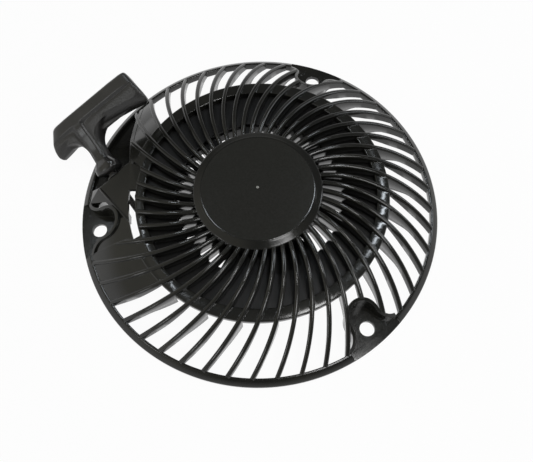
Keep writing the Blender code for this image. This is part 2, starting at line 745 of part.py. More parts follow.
def first_panel(rise):
    """Region of the closed panel beside the ear, up to a vane."""
    inner = ROPE_RING_OUTER_RADIUS - 2 * OVERLAP
    edge = RIM_INNER_RADIUS + 2 * OVERLAP
    into_gap = 0.4
    vane_side = vane_line(PANEL_END_ANGLE, edge, inner)
    ring_end = PANEL_END_ANGLE + vane_sweep(inner)
    ring_side = arc((0, 0), inner, ring_end, ROPE_GAP_END - into_gap, 4)[1:]
    rim_side = arc((0, 0), edge, PANEL_START_ANGLE - into_gap, PANEL_END_ANGLE, 4)[:-1]
    return prism("panel", vane_side + ring_side + rim_side, -1.0, rise)


def ear_panel(rise):
    """Region of the lower panel between the ear, the ridge's end and the first closed panel."""
    inner = ROPE_RING_OUTER_RADIUS + ROPE_GAP_WIDTH - OVERLAP
    edge = RIM_INNER_RADIUS + 2 * OVERLAP
    end = PANEL_START_ANGLE + 1.0
    ring_side = arc((0, 0), inner, EAR_PANEL_START, ROPE_GAP_END, 3)
    rim_side = arc((0, 0), edge, end, EAR_PANEL_START, 3)
    return prism("ear_panel", ring_side + rim_side, -1.0, rise)


def bay_panel(rise):
    """Region of the closed panel between the bay's back wall and the ring."""
    inner = ROPE_RING_OUTER_RADIUS - 2 * OVERLAP
    edge = RIM_INNER_RADIUS + 2 * OVERLAP
    vane_side = vane_line(BAY_PANEL_ANGLE, edge, inner)
    ring_start = BAY_PANEL_ANGLE + vane_sweep(inner)
    ring_side = arc((0, 0), inner, ring_start, BLOCK_START_ANGLE + 0.6, 3)[1:]
    back = beside(bay_line(), BAY_WALL / 2)[::-1]
    return prism("bay_panel", vane_side + ring_side + back, -1.0, rise)


def rope_gap(rise):
    """Open slot between the block and the ring, where the rope crosses."""
    inner = ROPE_RING_OUTER_RADIUS + OVERLAP / 5
    outer = ROPE_RING_OUTER_RADIUS + ROPE_GAP_WIDTH
    profile = [(inner, -1.0), (outer, -1.0), (outer, rise), (inner, rise)]
    return turned("rope_gap", profile, 6, ROPE_GAP_START, ROPE_GAP_END)


def housing():
    """The moulded housing, in one piece."""
    vane_angles = [VANE_PHASE + VANE_PITCH * i for i in range(VANE_COUNT)]
    body = joined("starter_housing", [rim(), middle_ring(), hub()])
    deep_angles = [a for i, a in enumerate(vane_angles) if i % VANE_DEEP_EVERY == 0]
    plain_angles = [a for a in vane_angles if a not in deep_angles]
    rise = HUB_HEIGHT + 10.0
    for deep, angles in ((True, deep_angles), (False, plain_angles)):
        vanes = cut(around(vane(deep), angles), prism("rope_sector", rope_sector(), -1.0, rise), CROWDED)
        add(body, vanes, CROWDED)

    add(body, bay_floor(), CROWDED)
    add(body, common(bay_wall(rise), dome_band("under_dome", EAR_WALL_DROP, 0)), CROWDED)
    for region, drop in ((first_panel, PANEL_DROP), (bay_panel, PANEL_DROP), (ear_panel, EAR_PANEL_DROP)):
        shell = dome_band("panel_shell", drop, PANEL_THICKNESS)
        add(body, common(region(rise), shell), CROWDED)
    add(body, rope_block(), CROWDED)
    cut(body, rope_gap(rise), CROWDED)
    cut(body, prism("shoulder_hollow", SHOULDER_HOLLOW, SHOULDER_HOLLOW_BOTTOM, rise), CROWDED)
    cut(body, rope_tunnel(), CROWDED)
    hole_radius = EYELET_BORE_RADIUS + EYELET_WALL + CLEARANCE
    eyelet_hole = rod("eyelet_hole", hole_radius, -BLOCK_FRONT_WALL - 3.0, 2.0, 24)
    eyelet_hole.matrix_basis = eyelet_place()
    cut(body, eyelet_hole, CROWDED)

    for angle in EAR_ANGLES:
        pocket = turned_outline(ear_outline(0.0), angle)
        round_it = turned_outline(ear_outline(EAR_WALL), angle)
        half_way = turned_outline(ear_outline(EAR_WALL / 2), angle)
        cut(body, prism("ear_space", half_way, FLANGE_TOP, rise), CROWDED)
        wall = cut(prism("ear_wall", round_it, -1.0, rise), prism("ear_inside", pocket, -2.0, rise + 1.0))
        add(body, common(wall, dome_band("ear_dome", EAR_WALL_DROP, 0)), CROWDED)
        floor = common(prism("ear_floor", round_it, 0.0, EAR_FLOOR_TOP),
                       rod("ear_disc", RIM_RADIUS - OVERLAP, -1.0, rise, RIM_STEPS))
        add(body, floor, CROWDED)
        hole = polar(angle, BOLT_CIRCLE_RADIUS)
        cut(body, rod("bolt_hole", BOLT_HOLE_RADIUS, -2.0, rise, 24, hole), CROWDED)
    return finish(merge_flats(body), GLOSS_BLACK)


# Rope, from the anchor in the drum to the knot in the handle

def rope_line(distance):
    """Place on the rope's straight run, by its distance from the drum."""
    share = distance / ROPE_RUN_LENGTH
    start = Vector(polar(ROPE_EXIT_ANGLE, ROPE_OUTER_LAYER))
    x, y = start + Vector(polar(ROPE_LINE_ANGLE, 1.0)) * distance
    return Vector((x, y, ROPE_LOW_ROW + (EYELET_HEIGHT - ROPE_LOW_ROW) * share))


def winding_point(wound):
    """Place on the winding, by the angle wound on from the anchor."""
    layers = [ROPE_INNER_LAYER + ROPE_LAYER_STEP * i for i in range(3)]
    stretches = ((layers[0], ROPE_LOW_ROW), (layers[0], ROPE_HIGH_ROW), (layers[1], ROPE_HIGH_ROW),
                 (layers[1], ROPE_LOW_ROW), (layers[2], ROPE_LOW_ROW))
    radius, height = stretches[0]
    for k in range(1, len(stretches)):
        start = 360.0 * (k - 1) + ROPE_FIRST_CLIMB + ROPE_CLIMB_ARC * (len(stretches) - 1 - k)
        share = min(max((wound - start) / ROPE_CLIMB_ARC, 0.0), 1.0)
        ease = share * share * (3 - 2 * share)
        radius += (stretches[k][0] - stretches[k - 1][0]) * ease
        height += (stretches[k][1] - stretches[k - 1][1]) * ease
    return Vector((*polar(ROPE_ANCHOR_ANGLE - wound, radius), height))


def bent(start, corner, end, steps):
    """Points along a bend that leaves the start and reaches the end towards a corner."""
    route = []
    for i in range(steps + 1):
        t = i / steps
        route.append(start * (1 - t) ** 2 + corner * 2 * t * (1 - t) + end * t * t)
    return route


def anchor_knot_centre():
    return Vector((*polar(ROPE_ANCHOR_ANGLE + ANCHOR_LEAD_ANGLE, ANCHOR_RADIUS), ANCHOR_HEIGHT))


def anchor_lead(wound_end=12.0):
    """The rope's slanting way from its knot through the drum wall onto the drum."""
    end = winding_point(wound_end)
    along = (winding_point(wound_end + 1.0) - end).normalized()
    corner = end - along * 13.0
    corner.z = (ANCHOR_HEIGHT + ROPE_LOW_ROW) / 2
    toward_knot = anchor_knot_centre() - corner
    reach = toward_knot.length - ANCHOR_KNOT_RADIUS - CLEARANCE
    return bent(corner + toward_knot.normalized() * reach, corner, end, 8)


def rope_winding():
    total = 360.0 * ROPE_FULL_TURNS + ROPE_ANCHOR_ANGLE - ROPE_EXIT_ANGLE
    first = 12.0
    steps = round((total - first) / 360.0 * ROPE_STEPS_PER_TURN)
    wound = [winding_point(first + (total - first) * i / steps) for i in range(1, steps + 1)]
    print_self_gap("rope_winding", wound, ROPE_DIAMETER, ROPE_STEPS_PER_TURN // 2)
    return finish(tube("rope_winding", anchor_lead(first) + wound, ROPE_DIAMETER), ROPE_BLACK)


def rope_anchor_knot():
    knot = ball("rope_anchor_knot", 2 * ANCHOR_KNOT_RADIUS, ANCHOR_KNOT_HEIGHT, anchor_knot_centre())
    return finish(knot, ROPE_BLACK)


def rope_run():
    """Straight rope from the drum to the eyelet's mouth."""
    mouth = ROPE_RUN_LENGTH + OVERLAP
    return finish(tube("rope_run", [rope_line(CLEARANCE), rope_line(mouth)], ROPE_DIAMETER), ROPE_BLACK)


def rope_tunnel():
    """Way for the rope through the block, open below."""
    gap_middle = ROPE_RING_OUTER_RADIUS + ROPE_GAP_WIDTH / 2
    from_gap = math.sqrt(gap_middle ** 2 - ROPE_OUTER_LAYER ** 2)
    ends = [rope_line(from_gap).xy, rope_line(ROPE_RUN_LENGTH - BLOCK_FRONT_WALL).xy]
    outline = strip([tuple(p) for p in ends], ROPE_TUNNEL_WIDTH / 2, ROPE_TUNNEL_WIDTH / 2)
    return prism("rope_tunnel", outline, -2.0, ROPE_TUNNEL_TOP)


def eyelet_place():
    return placed((*eyelet_centre(), EYELET_HEIGHT), (*front_normal(), 0.0), (0.0, 0.0, 1.0))


def rope_eyelet():
    """Flanged bush in the block's front wall."""
    bush = EYELET_BORE_RADIUS + EYELET_WALL
    flange = bush + EYELET_FLANGE
    back = -BLOCK_FRONT_WALL - 1.0
    front = CLEARANCE + EYELET_FLANGE_THICKNESS
    profile = [(EYELET_BORE_RADIUS, back), (bush, back), (bush, CLEARANCE), (flange, CLEARANCE),
               (flange, front - 0.4), (flange - 0.4, front), (EYELET_BORE_RADIUS + 0.5, front),
               (EYELET_BORE_RADIUS, front - 0.5)]
    piece = turned("rope_eyelet", profile, 20)
    piece.matrix_basis = eyelet_place()
    return finish(piece, ZINC_STEEL)


# Pulley, rewind spring and retainer

def pawl_place(angle):
    """Placement of a pawl: its pivot, with the arm along X."""
    turn = Matrix.Rotation(math.radians(angle - 90.0), 4, "Z")
    return Matrix.Translation(Vector((*polar(angle, PAWL_PIVOT_RADIUS), 0.0)) * MM) @ turn


def peg_centre():
    """Peg that a pawl spring's upper leg leans on, seen from the pivot."""
    across = PAWL_SPRING_COIL_RADIUS + PAWL_SPRING_WIRE / 2 + CLEARANCE + PEG_RADIUS
    return (-PAWL_SPRING_LEG + PEG_REACH, -across - 1.0)


def rope_pulley():
    bottom = PULLEY_BOTTOM
    low_flange = bottom + PULLEY_FLANGE_THICKNESS
    high_flange = PULLEY_TOP - PULLEY_FLANGE_THICKNESS
    sleeve_top = CEILING - CLEARANCE
    profile = [(SLEEVE_BORE, SLEEVE_BOTTOM), (SLEEVE_RADIUS, SLEEVE_BOTTOM),
               (SLEEVE_RADIUS, PULLEY_WEB_BOTTOM), (DRUM_INSIDE, PULLEY_WEB_BOTTOM), (DRUM_INSIDE, bottom),
               (PULLEY_FLANGE_RADIUS, bottom), (PULLEY_FLANGE_RADIUS, low_flange),
               (ROPE_DRUM_RADIUS, low_flange), (ROPE_DRUM_RADIUS, high_flange),
               (PULLEY_FLANGE_RADIUS, high_flange), (PULLEY_FLANGE_RADIUS, PULLEY_TOP),
               (DRUM_INSIDE, PULLEY_TOP), (DRUM_INSIDE, PULLEY_TOP_OF_WEB),
               (SLEEVE_RADIUS, PULLEY_TOP_OF_WEB), (SLEEVE_RADIUS, sleeve_top), (SLEEVE_BORE, sleeve_top)]
    pulley = turned("rope_pulley", profile, PULLEY_STEPS)
    half = WINDOW_WIDTH_ANGLE / 2
    for i in range(WINDOW_COUNT):
        if i in SOLID_WINDOWS:
            continue
        middle = WINDOW_PHASE + 360.0 / WINDOW_COUNT * i
        outline = arc((0, 0), WINDOW_INNER_RADIUS, middle - half, middle + half, 3)
        outline += arc((0, 0), DRUM_INSIDE - WINDOW_MARGIN, middle + half, middle - half, 4)
        cut(pulley, prism("window", outline, bottom, PULLEY_TOP))
    for angle in PAWL_ANGLES:
        pivot = polar(angle, PAWL_PIVOT_RADIUS)
        add(pulley, rod("post", PAWL_POST_RADIUS, PAWL_BOTTOM, PULLEY_WEB_BOTTOM + 1.0, 16, pivot))
        peg_foot = PAWL_BOTTOM + PAWL_HUB_HEIGHT
        peg = rod("peg", PEG_RADIUS, peg_foot, PULLEY_WEB_BOTTOM + 1.0, 10, peg_centre())
        peg.matrix_basis = pawl_place(angle)
        add(pulley, peg)
    lead = anchor_lead()
    beyond = lead[0] + (lead[0] - lead[1]).normalized() * 3.0
    cut(pulley, tube("rope_hole", [beyond] + lead, ROPE_DIAMETER + 2 * ROPE_HOLE_GAP, 3))
    return finish(pulley, NYLON_BLACK)


def rewind_spring():
    """Flat spiral strip between the pulley's sleeve and the hub's wall."""
    outer = CHAMBER_RADIUS - CLEARANCE - SPRING_THICKNESS / 2
    inner = SLEEVE_RADIUS + CLEARANCE + SPRING_THICKNESS
    low = RETAINER_TOP + CLEARANCE
    high = CEILING - CLEARANCE
    half = SPRING_THICKNESS / 2
    steps = SPRING_TURNS * SPRING_STEPS_PER_TURN
    rings = []
    route = []
    for i in range(steps + 1):
        radius = outer + (inner - outer) * i / steps
        angle = 360.0 / SPRING_STEPS_PER_TURN * i
        route.append((*polar(angle, radius), low))
        section = ((radius - half, low), (radius + half, low), (radius + half, high), (radius - half, high))
        rings.append([(*polar(angle, r), z) for r, z in section])
    print_self_gap("rewind_spring", route, SPRING_THICKNESS, SPRING_STEPS_PER_TURN // 2)
    return finish(loft("rewind_spring", rings), SPRING_STEEL)


def spring_retainer():
    """Disc under the hub that keeps the spring in its chamber."""
    inner = SLEEVE_RADIUS + RETAINER_HOLE_GAP
    low = RETAINER_TOP - RETAINER_THICKNESS
    profile = [(inner, low), (HUB_RADIUS, low), (HUB_RADIUS, RETAINER_TOP), (inner, RETAINER_TOP)]
    return finish(turned("spring_retainer", profile, HUB_STEPS), ZINC_STEEL)


# Pawls, their springs and the guide that swings them out

def pawl(name, angle):
    """Driving pawl: a hub on its post, an arm and a pin down into the guide."""
    low = PAWL_BOTTOM
    top = PULLEY_WEB_BOTTOM - CLEARANCE
    half = PAWL_WIDTH / 2
    arm_start = PAWL_SPRING_COIL_RADIUS + PAWL_SPRING_WIRE / 2 + 2 * CLEARANCE
    arm = [(arm_start, -half), (0.75 * PAWL_LENGTH, -half), (PAWL_LENGTH, -0.2 * half),
           (PAWL_LENGTH, 0.5 * half), (0.85 * PAWL_LENGTH, half), (arm_start, half)]
    piece = rod(name, PAWL_HUB_RADIUS, low, low + PAWL_HUB_HEIGHT, 24)
    add(piece, prism("arm", arm, low + OVERLAP, top))
    pin = (PAWL_PIN_OFFSET, 0.0)
    add(piece, rod("pin", PAWL_PIN_RADIUS, GUIDE_BOTTOM + CLEARANCE, low + 2 * OVERLAP, 14, pin))
    cut(piece, rod("bore", PAWL_POST_RADIUS + CLEARANCE, low - 1.0, top + 1.0, 16))
    piece.matrix_basis = pawl_place(angle)
    return finish(piece, ZINC_STEEL)


def pawl_spring(name, angle):
    """Torsion spring round a pawl's post, one leg along the arm, one against a peg."""
    low = PAWL_BOTTOM + PAWL_HUB_HEIGHT + CLEARANCE + PAWL_SPRING_WIRE / 2
    radius = PAWL_SPRING_COIL_RADIUS
    per_turn = 10
    coil = []
    for i in range(PAWL_SPRING_TURNS * per_turn + 1):
        share = i / per_turn
        coil.append((*polar(-90.0 - 360.0 * share, radius), low + PAWL_SPRING_PITCH * share))
    arm_side = PAWL_WIDTH / 2 + CLEARANCE + PAWL_SPRING_WIRE
    first = (PAWL_SPRING_LEG, -arm_side, low)
    last = (-PAWL_SPRING_LEG, -radius - 1.0, low + PAWL_SPRING_PITCH * PAWL_SPRING_TURNS)
    print_self_gap(name, coil, PAWL_SPRING_WIRE, per_turn // 2)
    piece = tube(name, [first] + coil + [last], PAWL_SPRING_WIRE)
    piece.matrix_basis = pawl_place(angle)
    return finish(piece, SPRING_STEEL)


def slot_outline():
    """Way of a pawl's pin over the guide, widened for the pin."""
    steps = 5
    places = []
    for i in range(steps + 1):
        turn = GUIDE_TRAVEL * i / steps
        x, y = polar(PAWL_RATIO * turn, PAWL_PIN_OFFSET)
        places += turned_outline([(x, y + PAWL_PIVOT_RADIUS)], -turn)
    half = PAWL_PIN_RADIUS + CLEARANCE
    first = Vector(places[1]) - Vector(places[0])
    last = Vector(places[-1]) - Vector(places[-2])
    first_angle = math.degrees(math.atan2(first.y, first.x))
    last_angle = math.degrees(math.atan2(last.y, last.x))
    end = arc(places[-1], half, last_angle - 90.0, last_angle + 90.0, 6)[1:-1]
    start = arc(places[0], half, first_angle + 90.0, first_angle + 270.0, 6)[1:-1]
    return beside(places, -half) + end + beside(places, half)[::-1] + start


def pawl_guide():
    """Plate that lags behind the pulley, so that its slots swing the pawls out."""
    inner = POST_RADIUS + RUNNING_GAP
    outer = GUIDE_RADIUS
    profile = [(inner, GUIDE_BOTTOM), (outer, GUIDE_BOTTOM), (outer, GUIDE_TOP), (inner, GUIDE_TOP)]
    guide = turned("pawl_guide", profile, 28)
    for angle in PAWL_ANGLES:
        outline = turned_outline(slot_outline(), angle - 90.0)
        cut(guide, prism("slot", outline, GUIDE_BOTTOM - 1.0, GUIDE_TOP + 1.0))
    return finish(guide, NYLON_BLACK)


def friction_spring():
    """Open wire ring under the guide, its ends against the washer."""
    level = GUIDE_BOTTOM - CLEARANCE - FRICTION_WIRE / 2
    tip = WASHER_RADIUS + CLEARANCE + FRICTION_WIRE / 2
    route = [polar(10.0, tip), polar(14.0, (tip + FRICTION_RADIUS) / 2)]
    route += arc((0, 0), FRICTION_RADIUS, 22.0, 338.0, 20)
    route += [polar(346.0, (tip + FRICTION_RADIUS) / 2), polar(350.0, tip)]
    return finish(tube("friction_spring", [(x, y, level) for x, y in route], FRICTION_WIRE), SPRING_STEEL)


def thrust_washer():
    inner = SCREW_RADIUS + CLEARANCE
    low = WASHER_TOP - WASHER_THICKNESS
    profile = [(inner, low), (WASHER_RADIUS, low), (WASHER_RADIUS, WASHER_TOP), (inner, WASHER_TOP)]
    return finish(turned("thrust_washer", profile, 28), ZINC_STEEL)


def centre_screw():
    """Screw up into the post, with a crossed slot in its head."""
    head_top = WASHER_TOP - WASHER_THICKNESS - CLEARANCE
    head_bottom = head_top - SCREW_HEAD_HEIGHT
    screw = rod("centre_screw", SCREW_HEAD_RADIUS, head_bottom, head_top, 24)
    add(screw, rod("shank", SCREW_RADIUS, head_top - OVERLAP, head_top + SCREW_LENGTH, 12))
    half = SCREW_HEAD_RADIUS * 0.65
    for turn in (0.0, 90.0):
        slot = turned_outline([(-half, -0.7), (half, -0.7), (half, 0.7), (-half, 0.7)], turn)
        cut(screw, prism("slot", slot, head_bottom - 1.0, head_bottom + 0.6 * SCREW_HEAD_HEIGHT))
    return finish(screw, ZINC_STEEL)


# T-handle, with the rope's end in it

def handle_axis():
    azimuth = math.radians(HANDLE_AZIMUTH)
    elevation = math.radians(HANDLE_ELEVATION)
    level = math.cos(elevation)
    return Vector((level * math.cos(azimuth), level * math.sin(azimuth), math.sin(elevation)))


def rope_bend():
    """Corner where the rope turns from the eyelet into the handle."""
    return rope_line(ROPE_RUN_LENGTH + ROPE_BEND_DISTANCE)


def handle_place():
    """Placement of the handle: its base, with the bar along X and the stem along Z."""
    axis = handle_axis()
    level = axis.cross(Vector((0.0, 0.0, 1.0))).normalized()
    twist = math.radians(HANDLE_TWIST)
    bar = level * math.cos(twist) + level.cross(axis) * math.sin(twist)
    return placed(rope_bend() + axis * HANDLE_STANDOFF, axis, bar)


def rounded(left, right, half_thickness, power, height, slope=0.0):
    """One level of the handle: a rounded rectangle, by its reach to the left and right."""
    middle = (right - left) / 2
    half_width = (right + left) / 2
    ring = []
    for i in range(GRIP_STEPS):
        angle = 2 * math.pi * i / GRIP_STEPS
        c = math.cos(angle)
        s = math.sin(angle)
        x = half_width * math.copysign(abs(c) ** (2 / power), c)
        y = half_thickness * math.copysign(abs(s) ** (2 / power), s)
        ring.append((middle + x, y, height - slope * (middle + x)))
    return ring


def grip_stem():
    """Flared base and a stem that spreads into the bar."""
    soft = 3.2
    square = 5.0
    base = GRIP_BASE_HALF_WIDTH
    base_thickness = GRIP_BASE_HALF_THICKNESS
    stem = STEM_HALF_WIDTH
    rings = [rounded(0.9 * base, 0.9 * base, 0.9 * base_thickness, square, 0.0)]
    for height in (0.12 * GRIP_BASE_LENGTH, 0.5 * GRIP_BASE_LENGTH):
        rings.append(rounded(base, base, base_thickness, square, height))
    rings.append(rounded(stem, stem, STEM_HALF_THICKNESS, soft, GRIP_BASE_LENGTH))
    bar_bottom = GRIP_HEIGHT - GRIP_BAR_DEPTH
    root = 0.97 * GRIP_HALF_THICKNESS
    stages = 5
    for i in range(stages):
        share = i / (stages - 1)
        turn = math.radians(90.0 * share)
        width = stem + STEM_FILLET * (1 - math.cos(turn))
        thickness = STEM_HALF_THICKNESS + (root - STEM_HALF_THICKNESS) * share / 2
        height = bar_bottom - STEM_FILLET * (1 - math.sin(turn))
        rings.append(rounded(width, width, thickness, soft, height))
    root_height = bar_bottom + STEM_ROOT_SHARE * GRIP_BAR_DEPTH
    rings.append(rounded(STEM_ROOT_WIDTH, STEM_ROOT_WIDTH, root, soft, root_height))
    return loft("stem", rings)


def handle_grip():
    """T-shaped grip: a stem off the bar's middle, and a bar that is thickest on its palm side."""
    square = 7.0
    bar_bottom = GRIP_HEIGHT - GRIP_BAR_DEPTH
    rings = []
    for rise, left, right, thickness in GRIP_BAR_SHAPE:
        rings.append(rounded(left * GRIP_LEFT_LENGTH, right * GRIP_RIGHT_LENGTH,
                             thickness * GRIP_HALF_THICKNESS, square,
                             bar_bottom + rise * GRIP_BAR_DEPTH, (1.0 - rise) * GRIP_FINGER_SLOPE))
    grip = add(loft("handle_grip", rings), grip_stem())
    cut(grip, rod("rope_bore", GRIP_ROPE_RADIUS, -1.0, GRIP_HEIGHT - 1.0, 16))
    cut(grip, rod("pocket", GRIP_POCKET_RADIUS, POCKET_FLOOR, GRIP_HEIGHT + 1.0, 20))
    return finish(grip, GRIP_BLACK)


def handle_insert():
    """Washer in the pocket that the knot bears on."""
    outer = GRIP_POCKET_RADIUS - CLEARANCE
    low = POCKET_FLOOR + CLEARANCE
    profile = [(GRIP_ROPE_RADIUS, low), (outer, low), (outer, INSERT_TOP), (GRIP_ROPE_RADIUS, INSERT_TOP)]
    return finish(turned("handle_insert", profile, 20), ZINC_STEEL)


def handle_cap():
    """Plug that closes the pocket on the palm side."""
    outer = GRIP_POCKET_RADIUS - CLEARANCE
    cap = rod("handle_cap", outer, GRIP_HEIGHT - CAP_THICKNESS, GRIP_HEIGHT, 20)
    return finish(cap, GRIP_BLACK)


def handle_knot():
    middle = INSERT_TOP + CLEARANCE + KNOT_LENGTH / 2
    return finish(ball("handle_knot", 2 * KNOT_RADIUS, KNOT_LENGTH, (0.0, 0.0, middle)), ROPE_BLACK)


def rope_lead():
    """Rope from the eyelet's mouth, bending into the handle's bore, up to its knot."""
    inverse = handle_place().inverted()
    start = rope_line(ROPE_RUN_LENGTH + OVERLAP + CLEARANCE)
    corner = rope_bend()
    bend_end = corner + handle_axis() * (HANDLE_STANDOFF - CLEARANCE)
    route = [(inverse @ (p * MM)) / MM for p in bent(start, corner, bend_end, 6)]
    route.append(Vector((0.0, 0.0, INSERT_TOP)))
    return finish(tube("rope_lead", route, ROPE_DIAMETER), ROPE_BLACK)


def handle():
    """The handle's pieces, carried by an empty at its base."""
    base = bpy.data.objects.new("handle_base", None)
    bpy.context.scene.collection.objects.link(base)
    base.matrix_basis = handle_place()
    for piece in (handle_grip(), handle_insert(), handle_cap(), handle_knot(), rope_lead()):
        piece.parent = base


def main():
    for old in list(bpy.data.objects):
        bpy.data.objects.remove(old)
    housing()
    rope_eyelet()
    spring_retainer()
    rewind_spring()
    rope_pulley()
    rope_winding()
    rope_anchor_knot()
    rope_run()
    for letter, angle in zip("ab", PAWL_ANGLES):
        pawl("pawl_" + letter, angle)
        pawl_spring("pawl_spring_" + letter, angle)
    pawl_guide()
    friction_spring()
    thrust_washer()
    centre_screw()
    handle()


main()
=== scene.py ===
"""Looks of the recoil starter: smooth moulded surfaces, materials, light and camera.

Sizes are in millimetres and angles in degrees, in the part's own frame; meshes are in metres.
"""
import math

import bmesh
import bpy
from mathutils import Matrix, Vector


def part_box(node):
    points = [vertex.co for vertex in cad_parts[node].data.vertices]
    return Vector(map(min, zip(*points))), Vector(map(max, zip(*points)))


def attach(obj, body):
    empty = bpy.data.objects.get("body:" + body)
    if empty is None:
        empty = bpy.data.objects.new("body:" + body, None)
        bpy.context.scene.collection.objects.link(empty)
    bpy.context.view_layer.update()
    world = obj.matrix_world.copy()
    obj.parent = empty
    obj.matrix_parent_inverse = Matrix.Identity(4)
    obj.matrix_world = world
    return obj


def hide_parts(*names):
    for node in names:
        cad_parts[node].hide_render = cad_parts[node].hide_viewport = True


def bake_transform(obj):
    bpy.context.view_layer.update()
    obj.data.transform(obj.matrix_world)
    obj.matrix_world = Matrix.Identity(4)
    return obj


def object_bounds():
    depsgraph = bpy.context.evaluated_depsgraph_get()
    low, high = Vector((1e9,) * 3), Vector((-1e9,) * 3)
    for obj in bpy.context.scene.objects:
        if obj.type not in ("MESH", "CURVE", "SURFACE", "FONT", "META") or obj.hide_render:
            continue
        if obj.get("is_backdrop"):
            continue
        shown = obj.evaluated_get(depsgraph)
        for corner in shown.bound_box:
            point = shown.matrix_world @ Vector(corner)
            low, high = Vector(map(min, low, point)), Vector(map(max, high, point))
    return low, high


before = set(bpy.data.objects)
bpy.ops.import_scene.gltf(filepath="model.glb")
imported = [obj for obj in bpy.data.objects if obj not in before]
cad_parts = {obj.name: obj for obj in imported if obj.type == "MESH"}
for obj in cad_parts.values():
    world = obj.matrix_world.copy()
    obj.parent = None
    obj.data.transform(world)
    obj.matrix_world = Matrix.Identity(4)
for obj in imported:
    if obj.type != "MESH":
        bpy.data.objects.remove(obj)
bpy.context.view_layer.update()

MM = 0.001
WELD_GAP = 0.001

# Housing
RIM_RADIUS = 108.0
RIM_INNER_RADIUS = 103.4
RIM_BOTTOM = 0.4
FLANGE_TOP = 2.9
RIM_LIP_HEIGHT = 5.6
RIM_LIP_WIDTH = 1.2
HUB_FACE_RADIUS = 32.9
HUB_RADIUS = 37.2
HUB_HEIGHT = 29.3
HUB_BEVEL_DROP = 1.4
HUB_WALL = 2.8
HUB_WALL_BOTTOM = 19.0
CEILING = 26.3
GATE_MARK_RADIUS = 0.8
POST_RADIUS = 6.0
POST_BOTTOM = 4.0
SCREW_BORE = 2.3
ROUND_STEPS = 240
EDGE_ROUND = 0.7
SCREW_DEPTH = 15.0
GATE_MARK_HEIGHT = 0.3
# Steps of the hub's rounded edge, from the top of its wall and from the edge of its face
HUB_WALL_ROUND = ((0.0, -0.8), (0.0, -0.5), (-0.15, -0.15), (-0.5, 0.05))
HUB_FACE_ROUND = ((0.7, -0.3), (0.2, -0.06), (-0.4, 0.0), (-0.8, 0.0), (-1.6, 0.0))
# Ends of cutters that go right through the housing
BELOW = -1.0
ABOVE = HUB_HEIGHT + 10.0

# Vanes
VANE_COUNT = 48
VANE_THICKNESS = 2.5
VANE_CROWN = 0.9
VANE_PHASE = 4.5
VANE_HUB_TOP = 27.6
VANE_RING_TOP = 24.0
VANE_RIM_TOP = 6.8
VANE_RING_SWEEP = 10.6
VANE_HUB_SWEEP = 23.2
VANE_INNER_BOTTOM = 19.4
VANE_RING_DEPTH = 9.0
VANE_RIM_DEPTH = 6.2
VANE_DEEP_BOTTOM = 8.5
VANE_STATIONS = 26
VANE_PITCH = 360.0 / VANE_COUNT
VANE_FOOT = 0.72
VANE_FOOT_RISE = 0.5
VANE_CROWN_STEPS = 8
VANE_HUB_END = HUB_RADIUS - HUB_WALL / 2
VANE_RIM_END = RIM_INNER_RADIUS + RIM_LIP_WIDTH / 2

# Middle ring
RING_INNER_RADIUS = 69.0
RING_OUTER_RADIUS = 76.3
RING_MIDDLE_RADIUS = (RING_INNER_RADIUS + RING_OUTER_RADIUS) / 2
RING_TOP = 22.2
RING_PLATE = 4.05
RING_SKIRT_WALL = 2.2
RING_SKIRT_BOTTOM = 17.6
ROPE_RING_INNER_RADIUS = 66.4
ROPE_RING_OUTER_RADIUS = 71.7
ROPE_RING_START = 152.0
ROPE_RING_END = 203.0
VANE_STEP = RING_OUTER_RADIUS - RING_SKIRT_WALL / 2
VANE_MIDDLE = (VANE_STEP + VANE_RIM_END) / 2

# Ears, panels, bay and block
EAR_ANGLES = (60.0, 180.0, 300.0)
BOLT_HOLE_RADIUS = 4.28
BOLT_CIRCLE_RADIUS = 97.4
EAR_END_RADIUS = 8.5
EAR_END_CENTRE = 92.6
EAR_FLARE_RADIUS = 10.0
EAR_FLARE_ANGLE = 78.0
EAR_WALL = 1.8
EAR_WALL_DROP = 1.0
EAR_FLOOR_TOP = 2.7
PANEL_DROP = 1.2
PANEL_THICKNESS = 2.0
EAR_PANEL_START = 181.0
EAR_PANEL_DROP = 2.4
BAY_FLOOR_BOTTOM = 0.6
BAY_FLOOR_TOP = 2.4
BAY_WALL = 2.0
BAY_START_ANGLE = 129.6
BAY_KNEE_ANGLE = 144.6
BAY_KNEE_RADIUS = 88.0
BLOCK_LEFT = (-93.5, 22.5)
BLOCK_RIGHT = (-72.5, 34.4)
BLOCK_LEFT_TOP = 14.5
BLOCK_TOP = 20.5
BLOCK_FRONT_WALL = 3.0
BLOCK_SIDE_WALL = 2.4
BLOCK_ROOF = 2.2
BLOCK_BEVEL = 0.6
SHOULDER_BEVEL = 0.4
SHOULDER_START_ANGLE = 165.5
SHOULDER_TOP = 5.2
SHOULDER_EAR_ANGLE = 9.0
BLOCK_START_ANGLE = 157.0
ROPE_GAP_START = 168.5
ROPE_GAP_END = 193.0
ROPE_GAP_WIDTH = 4.2
RIDGE_END_ANGLE = 184.0
RIDGE_BOTTOM = 15.0
PANEL_START_ANGLE = 189.4
PANEL_END_ANGLE = VANE_PHASE + VANE_PITCH * 27
BAY_PANEL_ANGLE = VANE_PHASE + VANE_PITCH * 16
SHOULDER_HOLLOW = ((-101.2, 16.9), (-99.0, 12.6), (-92.0, 8.5), (-85.5, 5.5), (-90.0, 12.5))
SHOULDER_HOLLOW_BOTTOM = 3.1
WALL_FOOT = 1.1
OVERLAP = 0.5
GAP_OUTER_RADIUS = ROPE_RING_OUTER_RADIUS + ROPE_GAP_WIDTH
PANEL_INNER_RADIUS = ROPE_RING_OUTER_RADIUS - 2 * OVERLAP
PANEL_OUTER_RADIUS = RIM_INNER_RADIUS + 2 * OVERLAP
BEAD_RADIUS = 0.8
BEAD_SINK = 0.2

